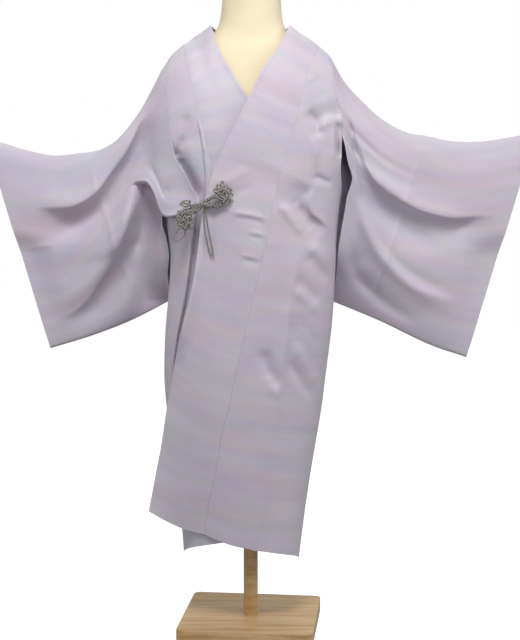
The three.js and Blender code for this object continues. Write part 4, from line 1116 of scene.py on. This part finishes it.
def cloth_piece(name, grid, turned, shift, closed):
    """A sheet of silk on a grid of points, with its own real lengths as its UV map."""
    grid = hemmed(grid, closed)
    rows, columns = grid.shape[:2]
    across, along = lengths_along(grid, closed)
    faces, uv = [], []
    for i in range(rows if closed else rows - 1):
        k = (i + 1) % rows
        for j in range(columns - 1):
            quad = [(i, j, i), (k, j, i + 1), (k, j + 1, i + 1), (i, j + 1, i)]
            if turned:
                quad.reverse()
            faces.append([row * columns + column for row, column, _ in quad])
            uv += [(across[row, column], along[length]) for row, column, length in quad]
    piece = link_mesh(name, grid.reshape(-1, 3), faces, np.array(uv) + shift, SILK)
    thick = piece.modifiers.new("thickness", "SOLIDIFY")
    thick.thickness = SILK_THICK * MM
    thick.offset = 0
    thick.use_even_offset = False
    thick.use_quality_normals = True
    return piece


def tube(path, radius_of, closed=False, sides=10):
    """A round cord along a path: corners, faces and UV. `radius_of(along, turn)` is its radius."""
    path = np.asarray(path, float)
    count = len(path)
    nxt, prv = np.roll(path, -1, axis=0), np.roll(path, 1, axis=0)
    if not closed:
        nxt[-1], prv[0] = path[-1], path[0]
    tangent = unit(nxt - prv)
    near_out = np.array([0.0, -1.0, 0.0]) + 1e-3  # a cord never runs quite this way
    first = unit(np.cross(tangent, near_out))
    second = np.cross(tangent, first)
    steps = np.linalg.norm(np.diff(path, axis=0), axis=-1)
    along = np.concatenate([[0], np.cumsum(steps)])
    turns = np.linspace(0, 2 * math.pi, sides, endpoint=False)
    radius = radius_of(along[:, None], turns[None, :])[..., None]
    rim = first[:, None] * np.cos(turns)[None, :, None] + second[:, None] * np.sin(turns)[None, :, None]
    corners = path[:, None] + rim * radius
    faces, uv = [], []
    for i in range(count if closed else count - 1):
        k = (i + 1) % count
        high = along[i + 1] if i + 1 < count else along[i] + np.linalg.norm(path[0] - path[-1])
        for j in range(sides):
            m = (j + 1) % sides
            faces.append((i * sides + j, i * sides + m, k * sides + m, k * sides + j))
            border = ((j, along[i]), (j + 1, along[i]), (j + 1, high), (j, high))
            uv += [(edge / sides, at) for edge, at in border]
    if not closed:
        for end in (0, count - 1):
            loop = [end * sides + j for j in range(sides)]
            faces.append(loop[::-1] if end == 0 else loop)
            uv += [(j / sides, along[end]) for j in range(sides)]
    return corners.reshape(-1, 3), faces, np.array(uv) * [CORD_GIRTH, MM]


def joined(parts):
    """Several tubes as one set of corners, faces and UV."""
    corners, faces, uv, before = [], [], [], 0
    for number, (some, loops, flat) in enumerate(parts):
        corners.append(some)
        faces += [tuple(before + k for k in loop) for loop in loops]
        uv.append(flat + [TUBE_SHIFT * number, 0])
        before += len(some)
    return np.concatenate(corners), faces, np.concatenate(uv)


def braid(radius):
    """Radius of a braided cord: plump strands that cross each other."""
    core, swell, pitch = 0.95, 0.09, 1.6

    def at(along, turn):
        return radius * (core + swell * np.cos(2 * turn + along * pitch) * np.cos(2 * turn - along * pitch))
    return at


# ---- tie cords ------------------------------------------------------------------------------------
CORD_RADIUS = 1.75
HANGING_RADIUS = 1.6
BINDING_RADIUS = 2.0
HANGING_POINTS = 70
TURN_POINTS = 16  # in one turn of a wound cord
HANGING_ENDS = {
    "tie_end_outer": [
        [-92.8, -136.4, 952.5], [-91.5, -135, 930], [-87.5, -132, 908], [-83.5, -130, 886],
        [-79.5, -129.6, 866], [-77.5, -129.2, 848],
    ],
    "tie_end_inner": [
        [-96.4, -136.4, 952.4], [-97, -135, 930], [-95, -132, 908], [-91.5, -130, 886],
        [-87, -128.5, 864], [-82, -128, 849],
    ],
}
# Flower knots. A petal is a loop: its tip, its width, how far forward it lies and how it is tipped. The weave
# over the heart, and the loops beside a knot, have a middle, a length and a direction instead of a tip.
PETAL = {"middle": 0.56, "length": 0.88}  # shares of the reach from heart to tip
FRONT_HEART = (-58, 978)
FRONT_PETALS = table("x z wide depth tilt", [
    [-58, 1008, 12, -139, 10], [-69, 1001, 10, -141, -16], [-77, 990, 11, -139, 20],
    [-47, 1000, 11, -141, -12], [-38, 991, 12, -138, 18], [-34, 979, 12, -141, -14],
    [-39, 965, 12, -139, 16], [-48, 957, 10, -142, -18], [-61, 955, 11, -139, 12], [-76, 975, 9, -142, -10],
])
FRONT_WEAVE = table("x z long wide deg depth tilt", [
    [-58, 984, 17, 9, 20, -144, 25], [-52, 977, 16, 9, 100, -145, -25], [-62, 973, 17, 9, 150, -144, 20],
    [-55, 969, 15, 8, 60, -143, -30], [-64, 981, 14, 8, 95, -143, 30], [-49, 985, 14, 8, 135, -143, -20],
])
SIDE_HEART = (-137, 926)
SIDE_PETALS = table("x z wide depth tilt", [
    [-152, 945, 10, -137, 14], [-141, 948, 9, -140, -16], [-155, 931, 10, -139, 18],
    [-128, 944, 9, -139, -14], [-153, 915, 10, -137, -12], [-146, 906, 10, -140, 16],
    [-133, 904, 10, -138, -16], [-124, 912, 9, -140, 14], [-122, 927, 9, -137, 12],
])
SIDE_WEAVE = table("x z long wide deg depth tilt", [
    [-140, 934, 17, 9, 60, -142, 25], [-134, 925, 17, 9, 115, -143, -25],
    [-142, 920, 16, 9, 30, -142, 20], [-136, 914, 15, 8, 90, -142, -25],
    [-147, 928, 14, 8, 140, -141, 20], [-130, 935, 14, 8, 10, -141, -20],
])
SIDE_LOOPS = table("x z long wide deg depth tilt", [
    [-135, 963, 19, 8, 6, -138, 15], [-138, 958, 18, 8, -8, -140, -15], [-130, 953, 18, 8, 24, -141, 10],
    [-149, 894, 33, 21, 57, -136, 6], [-118, 942, 17, 9, 62, -141, 20],
    [-124, 936, 18, 9, 100, -142, -22], [-116, 948, 16, 9, 20, -142, -18],
    [-127, 925, 18, 9, 75, -140, 24], [-125, 914, 17, 9, 50, -139, -16],
])


def loop_path(x, z, long, wide, deg, depth, tilt, steps=40):
    """A loop of cord: wider towards its tip, and tipped and twisted out of the plane of the cloth."""
    turn = np.linspace(0, 2 * math.pi, steps, endpoint=False)
    along = long / 2 * np.cos(turn)
    across = wide / 2 * np.sin(turn) * (0.8 + 0.3 * np.cos(turn))
    out = across * math.sin(math.radians(tilt)) + np.sin(2 * turn)
    across = across * math.cos(math.radians(tilt))
    c, s = math.cos(math.radians(deg)), math.sin(math.radians(deg))
    return points(x + along * c - across * s, depth - out, z + along * s + across * c)


def petal_path(heart, x, z, wide, depth, tilt):
    """A loop from near the flower's heart to its tip at x, z."""
    reach = math.hypot(x - heart[0], z - heart[1])
    deg = math.degrees(math.atan2(z - heart[1], x - heart[0]))
    middle = [h + (tip - h) * PETAL["middle"] for h, tip in zip(heart, (x, z))]
    long = reach * PETAL["length"] - 2 * CORD_RADIUS
    return loop_path(*middle, long, wide - 2 * CORD_RADIUS, deg, depth, tilt)


def wound_path(start, end, radius, turns):
    """A cord wound round the line from start to end."""
    start, end = np.array(start, float), np.array(end, float)
    along = unit(end - start)
    up = unit(np.cross(along, [0.0, 1.0, 0.0]))
    out = np.cross(along, up)
    t = np.linspace(0, 1, int(turns * TURN_POINTS) + 1)[:, None]
    turn = 2 * math.pi * turns * t
    return start + (end - start) * t + (up * np.cos(turn) + out * np.sin(turn)) * radius


def cord_piece(name, tubes, *nodes):
    """One piece of cord made of several tubes, which stands for these nodes."""
    piece = link_mesh(name, *joined(tubes), material=CORD)
    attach(piece, "root")
    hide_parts(*nodes)
    return piece


def rows_of(rows):
    """A table's rows, each as names and values."""
    return [dict(zip(rows, values)) for values in zip(*rows.values())]


for node, rows in HANGING_ENDS.items():
    path = smooth_path(rows, np.linspace(0, len(rows) - 1, HANGING_POINTS))
    strand = cord_piece(node + "_cord", [tube(path, braid(HANGING_RADIUS))], node)

STRAND = np.linspace(0, 3, 24)  # places on a strand that is given by four points
rope = braid(CORD_RADIUS)
front = [tube(petal_path(FRONT_HEART, **row), rope, closed=True) for row in rows_of(FRONT_PETALS)]
front += [tube(loop_path(**row), rope, closed=True) for row in rows_of(FRONT_WEAVE)]
front += [tube(path, rope) for path in (
    wound_path((-95, -138, 957.5), (-58, -137, 957), 3.6, 6),
    wound_path((-90, -139, 955), (-64, -138, 953.5), 2.6, 5),
    smooth_path([(-96, -137, 962), (-88, -138, 967), (-79, -138, 973), (-66, -138, 978)], STRAND),
    wound_path((-97, -138.5, 962), (-68, -139, 979), 3.4, 6),
)]
cord_piece("tie_flower_front", front, "tie_knot_front")

side_loops = rows_of(SIDE_WEAVE) + rows_of(SIDE_LOOPS)
beside = [tube(petal_path(SIDE_HEART, **row), rope, closed=True) for row in rows_of(SIDE_PETALS)]
beside += [tube(loop_path(**row), rope, closed=True) for row in side_loops]
beside += [tube(path, rope) for path in (
    wound_path((-100, -138, 958.5), (-126, -138, 953), 3.8, 5),
    smooth_path([(-102, -137, 953), (-112, -138, 949), (-122, -138, 943), (-130, -138, 935)], STRAND),
    wound_path((-103, -139, 954), (-126, -139, 936), 3.6, 6),
)]
cord_piece("tie_flower_side", beside, "tie_knot_side")
binding = wound_path((-104, -137.5, 959.5), (-88, -137.5, 957.5), 4.8, 5)
cord_piece("tie_binding", [tube(binding, braid(BINDING_RADIUS))], "tie_join")

# ---- the coat -------------------------------------------------------------------------------------
# Each cut's place on the bolt, so that no two have the same bands.
BOLT_PLACE = {"body": (0.0, 0.0), "collar": (3.1, 1.37), "sleeve": (5.7, 2.71)}
BOLT_SHIFT = {"right": (0, 0), "left": (9.3, 0.83)}
for side in ("right", "left"):
    body = body_grid(side)
    grids = {"body": body, "collar": collar_grid(side, body), "sleeve": sleeve_grid(side)}
    for kind, grid in grids.items():
        turned = (side == "right") == (kind == "collar")
        shift = np.add(BOLT_PLACE[kind], BOLT_SHIFT[side])
        piece = cloth_piece(f"silk_{kind}_{side}", grid, turned, shift, closed=kind == "sleeve")
        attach(piece, "root")
        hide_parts(f"{kind}_{side}")

# ---- dress form, pole and base --------------------------------------------------------------------
# z, half its width, reach to the front and to the back, x of its middle
FORM_RINGS = [
    (724, 128, 88, 92, 0), (740, 150, 104, 108, 1), (790, 158, 110, 116, 3), (850, 158, 112, 120, 4),
    (950, 162, 112, 120, 4), (1060, 168, 110, 116, 3), (1150, 173, 104, 110, 2), (1207, 175.5, 97, 102, 2),
    (1248.2, 164.4, 84, 96, 2), (1278.4, 142.4, 74, 88, 1), (1300.2, 116.4, 65, 80, 1), (1315, 92, 60, 72, 1),
    (1331, 74, 58, 66, 2), (1355, 66, 57, 61, 2), (1400, 63, 56, 60, 3), (1440, 62, 55, 59, 3),
    (1450, 56, 49, 53, 3),
]
FORM_ROUND = 0.9  # below 1 the rings are a little squarer than ellipses
SORT_FROM = (0.37, -0.91, 2.3)  # an uneven place, so that each run numbers the corners in the same order


def make_torso():
    """A ring drawn up through all the form's rings, closed at both ends."""
    bpy.ops.object.select_all(action="DESELECT")
    bpy.ops.mesh.primitive_circle_add(vertices=48, radius=1, fill_type="NGON", location=(0, 0, 0))
    torso = bpy.context.object
    torso.name = "dress_form"
    for vertex in torso.data.vertices:
        x, y, _ = vertex.co
        vertex.co = (math.copysign(abs(x) ** FORM_ROUND, x), math.copysign(abs(y) ** FORM_ROUND, y), 0)
    bpy.ops.object.mode_set(mode="EDIT")
    bpy.ops.mesh.select_all(action="SELECT")
    last_scale, last_place = (1, 1), (0, 0, 0)
    for z, half, front, back, x in FORM_RINGS:
        scale = (half * MM, (front + back) / 2 * MM)
        place = (x * MM, (back - front) / 2 * MM, z * MM)
        if z == FORM_RINGS[0][0]:
            bpy.ops.transform.resize(value=(*scale, 1), center_override=(0, 0, 0))
            bpy.ops.transform.translate(value=place)
        else:
            rise = {"value": (0, 0, place[2] - last_place[2])}
            bpy.ops.mesh.extrude_region_move(TRANSFORM_OT_translate=rise)
            growth = (scale[0] / last_scale[0], scale[1] / last_scale[1], 1)
            bpy.ops.transform.resize(value=growth, center_override=(*last_place[:2], place[2]))
            bpy.ops.transform.translate(value=(place[0] - last_place[0], place[1] - last_place[1], 0))
        last_scale, last_place = scale, place
    bpy.ops.mesh.select_all(action="SELECT")
    bpy.ops.mesh.normals_make_consistent(inside=False)
    bpy.context.scene.cursor.location = SORT_FROM
    bpy.ops.mesh.sort_elements(type="CURSOR_DISTANCE", elements={"VERT", "EDGE", "FACE"})
    bpy.context.scene.cursor.location = (0, 0, 0)
    bpy.ops.object.mode_set(mode="OBJECT")
    return torso


torso = make_torso()
torso.data.materials.append(JERSEY)
rounding = torso.modifiers.new("rounding", "SUBSURF")
rounding.levels = rounding.render_levels = 2
bpy.ops.object.modifier_apply(modifier="rounding")
bpy.ops.object.shade_smooth()
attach(torso, "root")
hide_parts("form_torso")

for node in ("form_pole", "form_base"):
    frame["nodes"][node].data.materials.clear()
    frame["nodes"][node].data.materials.append(WOOD)
